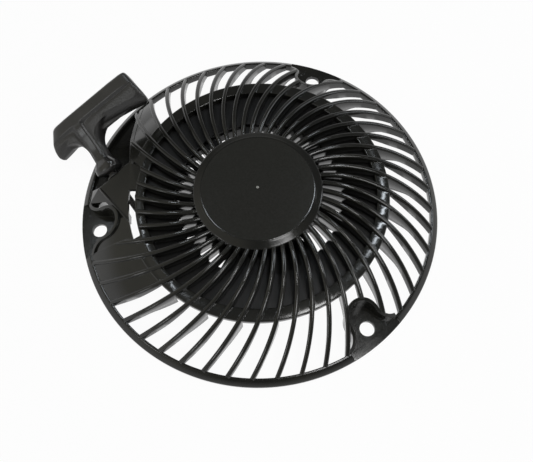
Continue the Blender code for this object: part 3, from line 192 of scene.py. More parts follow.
# Rope, eyelet and pulley
ROPE_RADIUS = 1.9
CORD_SIDES = 14
CORD_SHARP_ANGLE = 60.0
ROPE_LOW_ROW = 10.2
ROPE_HIGH_ROW = 14.6
ROPE_INNER_LAYER = 53.0
ROPE_LAYER_STEP = 4.25
ROPE_OUTER_LAYER = ROPE_INNER_LAYER + 2 * ROPE_LAYER_STEP
ROPE_LINE_ANGLE = 117.5
ROPE_EXIT_ANGLE = ROPE_LINE_ANGLE + 90.0
ROPE_ANCHOR_ANGLE = 270.0
ROPE_FULL_TURNS = 4
ROPE_CLIMB_ARC = 45.0
ROPE_FIRST_CLIMB = 175.0
ROPE_DRUM_START = 12.0
WINDING_STEP = 2.5
ROPE_RUN_START = 0.3
ROPE_RUN_PAST = 0.5
ROPE_TUNNEL_WIDTH = 9.0
ROPE_TUNNEL_TOP = 15.6
ANCHOR_RADIUS = 43.0
ANCHOR_LEAD_ANGLE = 18.0
ANCHOR_KNOT_RADIUS = 4.2
ANCHOR_HEIGHT = 10.6
ANCHOR_BEND = 13.0
END_KNOT_RADIUS = 3.5
END_KNOT_HEIGHT = 6.0
KNOT_STEPS = 96
EYELET_HEIGHT = 13.0
EYELET_HOLE_RADIUS = 3.6
PULLEY_BOTTOM = 6.8
PULLEY_TOP = 18.0
PULLEY_FLANGE_RADIUS = 69.35
PULLEY_FLANGE_THICKNESS = 1.2
PULLEY_DRUM_RADIUS = 50.8
PULLEY_DRUM_INSIDE = 49.3
PULLEY_WEB_BOTTOM = 13.0
PULLEY_WEB_TOP = 15.4
PULLEY_SLEEVE_RADIUS = 10.5
PULLEY_SLEEVE_BORE = 6.3
PULLEY_SLEEVE_BOTTOM = 6.3
PULLEY_SLEEVE_GAP = 0.3
PULLEY_ROUND = 0.2
WINDOW_COUNT = 12
WINDOW_INNER_RADIUS = 41.0
WIDE_WINDOW_INNER_RADIUS = 36.0
WINDOW_MARGIN = 1.0
WINDOW_WIDTH_ANGLE = 21.0
WINDOW_PHASE = 15.0
WINDOW_ROUND = 1.5
SOLID_WINDOWS = (8, 9)
WIDE_WINDOWS = (10, 11)
PAWL_ANGLES = (50.0, 230.0)
PAWL_PIVOT_RADIUS = 19.0
PAWL_POST_RADIUS = 3.0
PAWL_BOTTOM = 6.8

# T-handle
HANDLE_AZIMUTH = 112.4
HANDLE_ELEVATION = 15.3
HANDLE_TWIST = 30.9
ROPE_BEND_DISTANCE = 2.0
LEAD_BEND_STEPS = 12
HANDLE_STANDOFF = 2.0
GRIP_STEPS = 96
GRIP_HEIGHT = 42.3
GRIP_BAR_DEPTH = 14.0
GRIP_BAR_BOTTOM = GRIP_HEIGHT - GRIP_BAR_DEPTH
GRIP_BAR_POWER = 7.0
GRIP_FINGER_SLOPE = 0.15
GRIP_LEFT_LENGTH = 25.4
GRIP_RIGHT_LENGTH = 48.4
GRIP_HALF_THICKNESS = 7.9
GRIP_BAR_SHAPE = ((0.0, 0.96, 0.975, 0.24), (0.05, 0.985, 0.99, 0.44), (0.12, 1.0, 1.0, 0.62),
                  (0.2, 0.99, 0.996, 0.76), (0.3, 0.975, 0.989, 0.88), (0.4, 0.953, 0.98, 0.95),
                  (0.5, 0.925, 0.969, 0.99), (0.56, 0.905, 0.962, 1.0), (0.93, 0.735, 0.926, 1.0),
                  (1.0, 0.695, 0.91, 0.92))
STEM_HALF_WIDTH = 4.9
STEM_HALF_THICKNESS = 4.6
STEM_FILLET = 12.0
STEM_RIGHT_FILLET = 1.5
STEM_ROOT_WIDTH = 8.0
STEM_ROOT_SHARE = 0.7
GRIP_BASE_HALF_WIDTH = 7.8
GRIP_BASE_HALF_THICKNESS = 6.8
GRIP_BASE_FLAT = 5.2
GRIP_BASE_LENGTH = 9.4
GRIP_POCKET_RADIUS = 4.6
GRIP_POCKET_DEPTH = 3.0
INSERT_TOP = 29.2
GRIP_VOXEL = 0.45
GRIP_STRIP = 7.2
GRIP_STRIP_EDGE = GRIP_HEIGHT - GRIP_STRIP
GRIP_BAND_HALF = 2.4
GRIP_STEP = 0.7
GRIP_STEP_REACH = 0.8
GRIP_GROOVE = 0.7
GRIP_END_SLANT = 0.35
GRIP_END_START = 30.0
GRIP_SHARP_ANGLE = 50.0

# Camera, matched to the photograph
CAMERA_PLACE = (-12.33, -149.24, 332.62)
CAMERA_RIGHT = (0.98785, -0.15415, -0.0190)
CAMERA_UP = (0.15000, 0.91517, 0.3741)
CAMERA_FORWARD = (0.04033, 0.37242, -0.9272)
CAMERA_LENS = 39.985

# Bright wall of the studio, on the left
WALL_DIRECTION = (-0.86, -0.02, 0.51)
# Share of plain white in the floor and in the backdrop, seen straight and in mirrored rays
FLOOR_WHITE = 0.95
WORLD_WHITE = 0.97
# The backdrop fades in mirrored rays to a dim ceiling, between two heights of a direction
CEILING_MIRRORED = 0.05
BACKDROP_TOP = 0.2
CEILING_START = 0.4
FLOOR_GAP = 0.0002
FLOOR_REACH = 2.5
# Range that most of a noise falls in
NOISE_LOW = 0.3
NOISE_HIGH = 0.7
# Soft boxes: name, place, target, size, watts and colour, in metres
PALE_BLUE = (0.86, 0.93, 1.0)
LAMPS = (
    ("main", (0.30, -0.45, 1.00), (0.0, 0.0, 0.0), (0.30, 0.30), 3.0),
    ("overhead", (0.17, -0.02, 1.10), (0.0, 0.0, 0.0), (0.14, 0.14), 1.6),
    ("right_panel", (0.31, 0.36, 1.00), (0.06, -0.03, 0.02), (0.10, 0.16), 1.3, PALE_BLUE),
    ("left_panel", (-0.25, 0.33, 1.00), (-0.06, -0.03, 0.02), (0.09, 0.16), 1.0, PALE_BLUE),
    ("right_side", (0.95, 0.15, 0.55), (0.0, 0.0, 0.0), (0.25, 0.5), 2.0, (0.92, 0.96, 1.0)),
    ("front_left", (-0.90, -0.47, 0.63), (-0.07, 0.06, 0.03), (0.22, 0.22), 1.0,
     (0.94, 0.97, 1.0)),
    ("back_panel", (-0.70, 0.95, 0.27), (-0.06, 0.05, 0.02), (0.60, 0.35), 0.5),
)


# Mesh helpers

def polar(angle, radius):
    """Point in plan at an angle in degrees and a radius."""
    return (radius * math.cos(math.radians(angle)), radius * math.sin(math.radians(angle)))


def spaced(start, end, steps):
    """Even steps from one value to another, both included."""
    return [start + (end - start) * i / steps for i in range(steps + 1)]


def arc(radius, start, end, steps, centre=(0.0, 0.0)):
    """Points in plan along an arc, both ends included."""
    points = [polar(a, radius) for a in spaced(start, end, steps)]
    return [(centre[0] + x, centre[1] + y) for x, y in points]


def circle(radius, steps, centre=(0.0, 0.0)):
    return arc(radius, 0.0, 360.0, steps, centre)[:-1]


def ring_at(place, side, other, radius):
    """Circle of points round a place, in the plane of two directions."""
    turns = [2 * math.pi * i / CORD_SIDES for i in range(CORD_SIDES)]
    return [tuple(place + (side * math.cos(t) + other * math.sin(t)) * radius) for t in turns]


def bent(start, corner, end, steps):
    """Points along a bend that leaves the start and reaches the end towards a corner."""
    return [start * (1 - t) ** 2 + corner * 2 * t * (1 - t) + end * t * t
            for t in spaced(0.0, 1.0, steps)]


def eased(value, start, end):
    """Smooth step from 0 to 1 between two values."""
    share = min(max((value - start) / (end - start), 0.0), 1.0)
    return share * share * (3 - 2 * share)


def new_object(name, data):
    made = bpy.data.objects.new(name, data)
    bpy.context.scene.collection.objects.link(made)
    return made


def solid(name, points, faces):
    """Closed mesh from points in millimetres, its faces turned outwards."""
    mesh = bpy.data.meshes.new(name)
    mesh.from_pydata([Vector(p) * MM for p in points], [], faces)
    work = bmesh.new()
    work.from_mesh(mesh)
    bmesh.ops.recalc_face_normals(work, faces=work.faces)
    work.to_mesh(mesh)
    work.free()
    return new_object(name, mesh)


def loft(name, rings, closed=False):
    """Skin equal rings of points; open lofts get flat end caps."""
    size = len(rings[0])
    points = [p for ring in rings for p in ring]
    faces = []
    for i in range(len(rings) if closed else len(rings) - 1):
        low, high = i * size, (i + 1) % len(rings) * size
        for j in range(size):
            k = (j + 1) % size
            faces.append((low + j, low + k, high + k, high + j))
    if not closed:
        faces.append(tuple(range(size)))
        faces.append(tuple(range(len(points) - size, len(points))))
    return solid(name, points, faces)


def turned(name, profile, steps=ROUND_STEPS, start=0.0, end=360.0):
    """Revolve a closed profile of (radius, height), a full turn or a sector."""
    full = end - start >= 360.0
    rings = [[(*polar(a, r), z) for r, z in profile] for a in spaced(start, end, steps)]
    return loft(name, rings[:-1] if full else rings, closed=full)


def softened(profile, radius, keep=()):
    """A closed profile with its corners rounded, by at most a third of the shorter side."""
    made = []
    for i, corner in enumerate(profile):
        if i in keep:
            made.append(corner)
            continue
        here = Vector(corner)
        before = Vector(profile[i - 1]) - here
        after = Vector(profile[(i + 1) % len(profile)]) - here
        reach = min(radius, before.length / 3, after.length / 3)
        start = here + before.normalized() * reach
        end = here + after.normalized() * reach
        made += [tuple(p) for p in bent(start, here, end, 3)]
    return made


def prism(name, outline, bottom=BELOW, top=ABOVE):
    """Extrude an outline in plan between two heights."""
    return loft(name, [[(*p, bottom) for p in outline], [(*p, top) for p in outline]])


def hull(name, points, bevel=0.0):
    """Convex solid round a few points, its edges softened by a bevel if there is one."""
    mesh = bpy.data.meshes.new(name)
    work = bmesh.new()
    corners = [work.verts.new(Vector(p) * MM) for p in points]
    result = bmesh.ops.convex_hull(work, input=corners)
    spare = result["geom_interior"] + result["geom_unused"]
    inside = {v for v in spare if isinstance(v, bmesh.types.BMVert)}
    bmesh.ops.delete(work, geom=list(inside), context="VERTS")
    bmesh.ops.dissolve_limit(work, angle_limit=math.radians(1.0), verts=work.verts,
                             edges=work.edges)
    bmesh.ops.recalc_face_normals(work, faces=work.faces)
    if bevel:
        bmesh.ops.bevel(work, geom=list(work.edges), offset=bevel * MM, segments=3, profile=0.5,
                        affect="EDGES", clamp_overlap=True)
    work.to_mesh(mesh)
    work.free()
    return new_object(name, mesh)


def rod(name, radius, bottom=BELOW, top=ABOVE, steps=48, centre=(0.0, 0.0)):
    """Upright round bar."""
    return prism(name, circle(radius, steps, centre), bottom, top)


def joined(name, pieces):
    """Gather separate solids in one mesh."""
    work = bmesh.new()
    for piece in pieces:
        work.from_mesh(piece.data)
        bpy.data.objects.remove(piece)
    mesh = bpy.data.meshes.new(name)
    work.to_mesh(mesh)
    work.free()
    return new_object(name, mesh)


def made_mesh(target):
    """Mesh that an object's curve or modifiers make."""
    bpy.context.view_layer.update()
    evaluated = target.evaluated_get(bpy.context.evaluated_depsgraph_get())
    return bpy.data.meshes.new_from_object(evaluated)


def settle(target):
    """Replace an object's mesh by what its modifiers make of it."""
    mesh = made_mesh(target)
    target.modifiers.clear()
    target.data = mesh


def boolean(target, tool, operation, solver="MANIFOLD"):
    """Change a solid by another one, which is used up."""
    modifier = target.modifiers.new(operation, "BOOLEAN")
    modifier.object = tool
    modifier.operation = operation
    modifier.solver = solver
    settle(target)
    bpy.data.objects.remove(tool)
    return target


def add(target, tool):
    return boolean(target, tool, "UNION")


def cut(target, tool):
    return boolean(target, tool, "DIFFERENCE")


def common(target, tool):
    return boolean(target, tool, "INTERSECT")


def relax(piece, rounds):
    """Smooth a mesh, after any modifier that it already has."""
    modifier = piece.modifiers.new("ease", "SMOOTH")
    modifier.factor = 0.5
    modifier.iterations = rounds
    settle(piece)


def welded(piece):
    """Merge the corners that Booleans leave almost on each other."""
    work = bmesh.new()
    work.from_mesh(piece.data)
    bmesh.ops.remove_doubles(work, verts=work.verts, dist=WELD_GAP * MM)
    work.to_mesh(piece.data)
    work.free()
    return piece


def around(piece, angles):
    """Copies of a piece turned about Z, gathered in one mesh."""
    copies = []
    for angle in angles:
        mesh = piece.data.copy()
        mesh.transform(Matrix.Rotation(math.radians(angle), 4, "Z"))
        copies.append(new_object("copy", mesh))
    bpy.data.objects.remove(piece)
    return joined("pattern", copies)


def placed(origin, axis, side):
    """Placement with Z along an axis and X as near as can be along a side."""
    z = Vector(axis).normalized()
    x = (Vector(side) - z * Vector(side).dot(z)).normalized()
    turn = Matrix((x, z.cross(x), z)).transposed().to_4x4()
    return Matrix.Translation(Vector(origin) * MM) @ turn


def smooth(piece, angle=38.0):
    """Shade a piece smoothly, apart from edges sharper than an angle."""
    piece.data.shade_smooth()
    piece.data.set_sharp_from_angle(angle=math.radians(angle))
    return piece


# Places worked out from the sizes
RIDGE_END = polar(RIDGE_END_ANGLE, GAP_OUTER_RADIUS)
# Top of the bay's back wall in plan, from the rim to the rope block
BAY_LINE = [polar(BAY_START_ANGLE, RIM_INNER_RADIUS), polar(BAY_KNEE_ANGLE, BAY_KNEE_RADIUS),
            BLOCK_RIGHT]
BLOCK_ALONG = (Vector(BLOCK_RIGHT) - Vector(BLOCK_LEFT)).normalized()
BLOCK_FRONT = Vector((-BLOCK_ALONG.y, BLOCK_ALONG.x))
ANCHOR_KNOT = Vector((*polar(ROPE_ANCHOR_ANGLE + ANCHOR_LEAD_ANGLE, ANCHOR_RADIUS), ANCHOR_HEIGHT))
HANDLE_AXIS = Vector((*polar(HANDLE_AZIMUTH, math.cos(math.radians(HANDLE_ELEVATION))),
                      math.sin(math.radians(HANDLE_ELEVATION))))
ROPE_START = Vector(polar(ROPE_EXIT_ANGLE, ROPE_OUTER_LAYER))
ROPE_TOWARD = Vector(polar(ROPE_LINE_ANGLE, 1.0))
# From the drum along the rope's line to the block's front face
ROPE_RUN_LENGTH = ((Vector(BLOCK_LEFT) - ROPE_START).dot(BLOCK_FRONT)
                   / ROPE_TOWARD.dot(BLOCK_FRONT))


# Vanes

def circle_through(a, b, c):
    """Centre and radius of the circle through three points of a profile."""
    (ax, ay), (bx, by), (cx, cy) = a, b, c
    d = 2 * (ax * (by - cy) + bx * (cy - ay) + cx * (ay - by))
    sa, sb, sc = ax * ax + ay * ay, bx * bx + by * by, cx * cx + cy * cy
    x = (sa * (by - cy) + sb * (cy - ay) + sc * (ay - by)) / d
    y = (sa * (cx - bx) + sb * (ax - cx) + sc * (bx - ax)) / d
    return x, y, math.hypot(ax - x, ay - y)


DOME = circle_through((HUB_RADIUS, VANE_HUB_TOP), (RING_MIDDLE_RADIUS, VANE_RING_TOP),
                      (RIM_INNER_RADIUS, VANE_RIM_TOP))


def dome_top(radius):
    """Height of the vanes' crowns: one arc from hub to rim."""
    x, y, r = DOME
    return y + math.sqrt(r * r - (radius - x) ** 2)


def vane_sweep(radius):
    """Angle that a vane has turned, going inwards from the rim."""
    places = ((RIM_INNER_RADIUS, 0.0), (RING_MIDDLE_RADIUS, VANE_RING_SWEEP),
              (HUB_RADIUS, VANE_HUB_SWEEP))
    total = 0.0
    for i, (r, angle) in enumerate(places):
        weight = 1.0
        for j, (other, _) in enumerate(places):
            if j != i:
                weight *= (radius - other) / (r - other)
        total += angle * weight
    return total


def vane_direction(radius):
    """Direction in plan of a vane's outward run, against its own angle."""
    step = 0.5
    here = Vector(polar(vane_sweep(radius - step), radius - step))
    there = Vector(polar(vane_sweep(radius + step), radius + step))
    return (there - here).normalized()


def vane_underside(radius):
    """Height of a vane's lower edge where it follows the dome."""
    share = (radius - RING_INNER_RADIUS) / (RIM_INNER_RADIUS - RING_INNER_RADIUS)
    return dome_top(radius) - VANE_RING_DEPTH + (VANE_RING_DEPTH - VANE_RIM_DEPTH) * share


def vane_low(radius, deep):
    """Lower edge of a vane, with a gusset outside the ring on a deep one."""
    if radius <= VANE_STEP:
        return VANE_INNER_BOTTOM
    if radius >= VANE_MIDDLE:
        return vane_underside(radius)
    first = VANE_DEEP_BOTTOM if deep else VANE_INNER_BOTTOM
    share = (radius - VANE_STEP) / (VANE_MIDDLE - VANE_STEP)
    return first + (vane_underside(VANE_MIDDLE) - first) * share


def vane(deep):
    """One vane with a rounded crown, from inside the hub wall to inside the rim."""
    radii = spaced(VANE_HUB_END, VANE_RIM_END, VANE_STATIONS)
    rings = []
    for radius in sorted(radii + [VANE_STEP, VANE_STEP + OVERLAP]):
        low = vane_low(radius, deep)
        shoulder = dome_top(radius) - VANE_CROWN
        levels = [(-VANE_FOOT, low), (VANE_FOOT, low), (1.0, low + VANE_FOOT_RISE)]
        for x, z in arc(1.0, 0.0, 180.0, VANE_CROWN_STEPS):
            levels.append((x, shoulder + VANE_CROWN * z))
        levels.append((-1.0, low + VANE_FOOT_RISE))
        centre = Vector(polar(vane_sweep(radius), radius))
        along = vane_direction(radius)
        across = Vector((-along.y, along.x)) * VANE_THICKNESS / 2
        rings.append([(*(centre + across * share), z) for share, z in levels])
    return loft("vane", rings)


# Housing body

def rim():
    inner, lip = RIM_INNER_RADIUS, RIM_INNER_RADIUS + RIM_LIP_WIDTH
    profile = [(inner, RIM_BOTTOM), (RIM_RADIUS, RIM_BOTTOM), (RIM_RADIUS, FLANGE_TOP),
               (lip, RIM_LIP_HEIGHT), (inner, RIM_LIP_HEIGHT)]
    return turned("rim", softened(profile, EDGE_ROUND))


def ring_profile(inner, outer):
    plate = RING_TOP - RING_PLATE
    skirt = outer - RING_SKIRT_WALL
    profile = [(inner, plate), (skirt, plate), (skirt, RING_SKIRT_BOTTOM),
               (outer, RING_SKIRT_BOTTOM), (outer, RING_TOP), (inner, RING_TOP)]
    return softened(profile, EDGE_ROUND, keep=(0, 1, 2))


def middle_ring():
    """Wide ring all round, but a narrower one set inwards beside the rope."""
    wide = turned("wide_ring", ring_profile(RING_INNER_RADIUS, RING_OUTER_RADIUS), ROUND_STEPS,
                  ROPE_RING_END, ROPE_RING_START + 360.0)
    overlap = 1.5
    narrow = turned("narrow_ring", ring_profile(ROPE_RING_INNER_RADIUS, ROPE_RING_OUTER_RADIUS), 48,
                    ROPE_RING_START - overlap, ROPE_RING_END + overlap)
    return add(wide, narrow)


def hub():
    """Flat-faced cup with a rounded edge, and the pulley's post inside."""
    wall_top = HUB_HEIGHT - HUB_BEVEL_DROP
    wall = [(HUB_RADIUS + r, wall_top + z) for r, z in HUB_WALL_ROUND]
    face = [(HUB_FACE_RADIUS + r, HUB_HEIGHT + z) for r, z in HUB_FACE_ROUND]
    low, high = Vector(wall.pop()), Vector(face.pop(0))
    slope = [tuple(low + (high - low) * share) for share in (0.0, 0.1, 0.9, 1.0)]
    profile = [(HUB_RADIUS, HUB_WALL_BOTTOM), *wall, *slope, *face]
    cup = loft("hub", [[(*p, z) for p in circle(r, ROUND_STEPS)] for r, z in profile])
    inside = HUB_RADIUS - HUB_WALL
    cut(cup, turned("chamber", [(POST_RADIUS, POST_BOTTOM), (inside, POST_BOTTOM),
                                (inside, CEILING), (POST_RADIUS, CEILING)]))
    add(cup, rod("post", POST_RADIUS, POST_BOTTOM, CEILING + 1.0))
    cut(cup, rod("screw_bore", SCREW_BORE, POST_BOTTOM - 1.0, POST_BOTTOM + SCREW_DEPTH, 24))
    mark = ((GATE_MARK_RADIUS, HUB_HEIGHT - 1.0),
            (0.6 * GATE_MARK_RADIUS, HUB_HEIGHT + GATE_MARK_HEIGHT))
    corners = [(*polar(30.0 * i, r), z) for i in range(12) for r, z in mark]
    return add(cup, hull("gate_mark", corners))


def dome_band(drop, thickness=0.0):
    """Turned solid under the dome: a shell, or down to the bay floor without a thickness."""
    inner = ROPE_RING_OUTER_RADIUS - 1.0
    outer = RIM_INNER_RADIUS + OVERLAP
    top = [(r, dome_top(r) - drop) for r in spaced(inner, outer, 24)]
    if thickness:
        low = [(r, z - thickness) for r, z in reversed(top)]
    else:
        low = [(outer, WALL_FOOT), (inner, WALL_FOOT)]
    return turned("dome_band", top + low)


def ear_outline(grow, angle):
    """Bell shape round a bolt hole, opening towards the rim."""
    half = arc(EAR_END_RADIUS + grow, 180, 90, 18, (EAR_END_CENTRE, 0))
    side = arc(EAR_FLARE_RADIUS - grow, -90, EAR_FLARE_ANGLE - 90, 14,
               (EAR_END_CENTRE, EAR_END_RADIUS + EAR_FLARE_RADIUS))
    upper = half + side[1:] + [(RIM_RADIUS + 4.0, side[-1][1] + 2.0)]
    outline = upper + [(x, -y) for x, y in reversed(upper[1:])]
    c, s = math.cos(math.radians(angle)), math.sin(math.radians(angle))
    return [(x * c - y * s, x * s + y * c) for x, y in outline]


def beside(points, distance):
    """A line in plan moved sideways, to its own left for a positive distance."""
    moved = []
    for i, point in enumerate(points):
        before = Vector(points[max(i - 1, 0)])
        after = Vector(points[min(i + 1, len(points) - 1)])
        along = (after - before).normalized()
        moved.append(tuple(Vector(point) + Vector((-along.y, along.x)) * distance))
    return moved


def strip(points, right, left):
    """Outline of a band along a line, by its reach to the line's right and left."""
    return beside(points, -right) + beside(points, left)[::-1]


def bay_wall():
    """The bay's back wall, which runs on a little into the rope block."""
    onward = (Vector(BAY_LINE[-1]) - Vector(BAY_LINE[-2])).normalized()
    line = BAY_LINE[:-1] + [tuple(Vector(BAY_LINE[-1]) + onward * BAY_WALL)]
    return prism("bay_wall", strip(line, OVERLAP, BAY_WALL))


def vane_line(rim_angle):
    """Points in plan along a vane's middle, going inwards over a panel."""
    radii = spaced(PANEL_OUTER_RADIUS, PANEL_INNER_RADIUS, 20)
    return [polar(rim_angle + vane_sweep(r), r) for r in radii]


def bay_floor():
    """Floor of the handle bay, reaching a little under the wall, the block and the rim."""
    back = beside(BAY_LINE, 2 * OVERLAP)
    front = beside([BLOCK_LEFT, BLOCK_RIGHT], -2 * OVERLAP)
    rim_side = arc(PANEL_OUTER_RADIUS, SHOULDER_START_ANGLE + 1.0, BAY_START_ANGLE, 32)
    return prism("bay_floor", back + front[::-1] + rim_side, BAY_FLOOR_BOTTOM, BAY_FLOOR_TOP)


def rope_sector():
    """Region without vanes, from the bay wall to the first closed panel."""
    ring_side = arc(ROPE_RING_OUTER_RADIUS - OVERLAP, BLOCK_START_ANGLE, ROPE_GAP_END, 24)
    rim_side = arc(RIM_RADIUS, PANEL_START_ANGLE, BAY_START_ANGLE, 40)
    wall_side = BAY_LINE[1:-1] + beside(BAY_LINE, OVERLAP)[-1:]
    return prism("rope_sector", wall_side + ring_side + rim_side)


def rope_block():
    """Faceted block that carries the rope eyelet, hollow from below."""
    ring_a = polar(BLOCK_START_ANGLE, PANEL_INNER_RADIUS)
    ring_b = polar(ROPE_GAP_START, PANEL_INNER_RADIUS)
    roof = [(*BLOCK_LEFT, BLOCK_LEFT_TOP), (*BLOCK_RIGHT, BLOCK_TOP), (*ring_a, BLOCK_TOP + 1.0),
            (*ring_b, BLOCK_TOP + 1.0), (*RIDGE_END, BLOCK_TOP)]
    feet = [(*p, WALL_FOOT) for p in (BLOCK_LEFT, BLOCK_RIGHT, ring_a)]
    raised = [(*p, RIDGE_BOTTOM) for p in (ring_b, RIDGE_END)]
    body = hull("block", roof + feet + raised, BLOCK_BEVEL)
    foot = WALL_FOOT + OVERLAP / 2
    shoulder = [(*BLOCK_LEFT, BLOCK_LEFT_TOP), (*BLOCK_LEFT, foot),
                (*RIDGE_END, BLOCK_TOP), (*RIDGE_END, RIDGE_BOTTOM + OVERLAP)]
    for angle in (SHOULDER_START_ANGLE, EAR_ANGLES[1] - SHOULDER_EAR_ANGLE):
        rim_point = polar(angle, RIM_INNER_RADIUS + OVERLAP)
        shoulder += [(*rim_point, SHOULDER_TOP), (*rim_point, foot)]
    add(body, hull("shoulder", shoulder, SHOULDER_BEVEL))
    along = BLOCK_ALONG * BLOCK_SIDE_WALL
    inwards = -BLOCK_FRONT * BLOCK_FRONT_WALL
    in_gap = ROPE_RING_OUTER_RADIUS + ROPE_GAP_WIDTH / 3
    side = math.degrees(BLOCK_SIDE_WALL / in_gap)
    high = BLOCK_TOP - BLOCK_ROOF
    ceiling = [(*(Vector(BLOCK_LEFT) + inwards + along), BLOCK_LEFT_TOP - BLOCK_ROOF),
               (*(Vector(BLOCK_RIGHT) + inwards - along), high),
               (*polar(BLOCK_START_ANGLE + side, in_gap), high),
               (*polar(RIDGE_END_ANGLE - side, in_gap), high)]
    return cut(body, hull("hollow", ceiling + [(x, y, BELOW) for x, y, _ in ceiling]))


def ridge_bead():
    """Thin raised bead along the ridge from the block's corner to the rope's gap."""
    start = Vector((*BLOCK_LEFT, BLOCK_LEFT_TOP - BEAD_SINK))
    end = Vector((*RIDGE_END, BLOCK_TOP - BEAD_SINK))
    along = (end - start).normalized()
    side = along.orthogonal().normalized()
    other = along.cross(side)
    rings = []
    for share in spaced(0.0, 1.0, 24):
        radius = BEAD_RADIUS * math.sqrt(max(1 - abs(2 * share - 1) ** 12, 0.05))
        rings.append(ring_at(start + (end - start) * share, side, other, radius))
    return loft("bead", rings)


def first_panel():
    """Region of the closed panel beside the ear, up to a vane."""
    into_gap = 0.4
    ring_end = PANEL_END_ANGLE + vane_sweep(PANEL_INNER_RADIUS)
    ring_side = arc(PANEL_INNER_RADIUS, ring_end, ROPE_GAP_END - into_gap, 16)[1:]
    rim_side = arc(PANEL_OUTER_RADIUS, PANEL_START_ANGLE - into_gap, PANEL_END_ANGLE, 16)[:-1]
    return prism("panel", vane_line(PANEL_END_ANGLE) + ring_side + rim_side)


def ear_panel():
    """Region of the lower panel between the ear, the ridge's end and the first closed panel."""
    ring_side = arc(GAP_OUTER_RADIUS - OVERLAP, EAR_PANEL_START, ROPE_GAP_END, 12)
    rim_side = arc(PANEL_OUTER_RADIUS, PANEL_START_ANGLE + 1.0, EAR_PANEL_START, 12)
    return prism("ear_panel", ring_side + rim_side)


def bay_panel():
    """Region of the closed panel between the bay's back wall and the ring."""
    under_block = 0.6
    ring_start = BAY_PANEL_ANGLE + vane_sweep(PANEL_INNER_RADIUS)
    ring_side = arc(PANEL_INNER_RADIUS, ring_start, BLOCK_START_ANGLE + under_block, 12)[1:]
    back = beside(BAY_LINE, BAY_WALL / 2)[::-1]
    return prism("bay_panel", vane_line(BAY_PANEL_ANGLE) + ring_side + back)


def rope_gap():
    """Open slot between the block and the ring, where the rope crosses."""
    inner, outer = ROPE_RING_OUTER_RADIUS + OVERLAP / 5, GAP_OUTER_RADIUS
    profile = [(inner, BELOW), (outer, BELOW), (outer, ABOVE), (inner, ABOVE)]
    return turned("rope_gap", profile, 24, ROPE_GAP_START, ROPE_GAP_END)


def rope_tunnel():
    """Way for the rope through the block, open below."""
    gap_middle = ROPE_RING_OUTER_RADIUS + ROPE_GAP_WIDTH / 2
    from_gap = math.sqrt(gap_middle ** 2 - ROPE_OUTER_LAYER ** 2)
    ends = [tuple(rope_line(d).xy) for d in (from_gap, ROPE_RUN_LENGTH - BLOCK_FRONT_WALL)]
    outline = strip(ends, ROPE_TUNNEL_WIDTH / 2, ROPE_TUNNEL_WIDTH / 2)
    return prism("rope_tunnel", outline, 2 * BELOW, ROPE_TUNNEL_TOP)


def eyelet_hole():
    """Round hole through the block's front wall."""
    hole = rod("eyelet_hole", EYELET_HOLE_RADIUS, -BLOCK_FRONT_WALL - 3.0, 2.0)
    hole.matrix_basis = placed((*rope_line(ROPE_RUN_LENGTH).xy, EYELET_HEIGHT),
                               (*BLOCK_FRONT, 0.0), (0.0, 0.0, 1.0))
    return hole


def add_ear(body, angle):
    """Cut an ear's pocket in the grille and set its wall, floor and bolt hole in it."""
    outside = ear_outline(EAR_WALL, angle)
    cut(body, prism("ear_space", ear_outline(EAR_WALL / 2, angle), FLANGE_TOP))
    wall = cut(prism("ear_wall", outside),
               prism("ear_inside", ear_outline(0.0, angle), 2 * BELOW, ABOVE + 1.0))
    add(body, common(wall, dome_band(EAR_WALL_DROP)))
    add(body, common(prism("ear_floor", outside, 0.0, EAR_FLOOR_TOP),
                     rod("ear_disc", RIM_RADIUS - OVERLAP, steps=ROUND_STEPS)))
    cut(body, rod("bolt_hole", BOLT_HOLE_RADIUS, 2 * BELOW, ABOVE, 64,
                  polar(angle, BOLT_CIRCLE_RADIUS)))


def housing_shell():
    """The moulded housing with smooth vanes and rounded edges."""
    angles = [VANE_PHASE + VANE_PITCH * i for i in range(VANE_COUNT)]
    body = joined("housing_shell", [rim(), middle_ring(), hub()])
    for deep, chosen in ((True, angles[::2]), (False, angles[1::2])):
        add(body, cut(around(vane(deep), chosen), rope_sector()))
    add(body, bay_floor())
    add(body, common(bay_wall(), dome_band(EAR_WALL_DROP)))
    for region, drop in ((first_panel, PANEL_DROP), (bay_panel, PANEL_DROP),
                         (ear_panel, EAR_PANEL_DROP)):
        add(body, common(region(), dome_band(drop, PANEL_THICKNESS)))
    add(body, rope_block())
    add(body, ridge_bead())
    cut(body, rope_gap())
    cut(body, prism("shoulder_hollow", SHOULDER_HOLLOW, SHOULDER_HOLLOW_BOTTOM))
    cut(body, rope_tunnel())
    cut(body, eyelet_hole())
    for angle in EAR_ANGLES:
        add_ear(body, angle)
    return smooth(welded(body))


# Rope

def rope_line(distance):
    """Place on the rope's straight run, by its distance from the drum."""
    share = distance / ROPE_RUN_LENGTH
    return Vector((*(ROPE_START + ROPE_TOWARD * distance),
                   ROPE_LOW_ROW + (EYELET_HEIGHT - ROPE_LOW_ROW) * share))


def winding_point(wound):
    """Place on the winding, by the angle wound on from the anchor."""
    layers = [ROPE_INNER_LAYER + ROPE_LAYER_STEP * i for i in range(3)]
    stretches = ((layers[0], ROPE_LOW_ROW), (layers[0], ROPE_HIGH_ROW), (layers[1], ROPE_HIGH_ROW),
                 (layers[1], ROPE_LOW_ROW), (layers[2], ROPE_LOW_ROW))
    radius, height = stretches[0]
    for k in range(1, len(stretches)):
        start = 360.0 * (k - 1) + ROPE_FIRST_CLIMB + ROPE_CLIMB_ARC * (len(stretches) - 1 - k)
        share = eased(wound, start, start + ROPE_CLIMB_ARC)
        radius += (stretches[k][0] - stretches[k - 1][0]) * share
        height += (stretches[k][1] - stretches[k - 1][1]) * share
    return Vector((*polar(ROPE_ANCHOR_ANGLE - wound, radius), height))


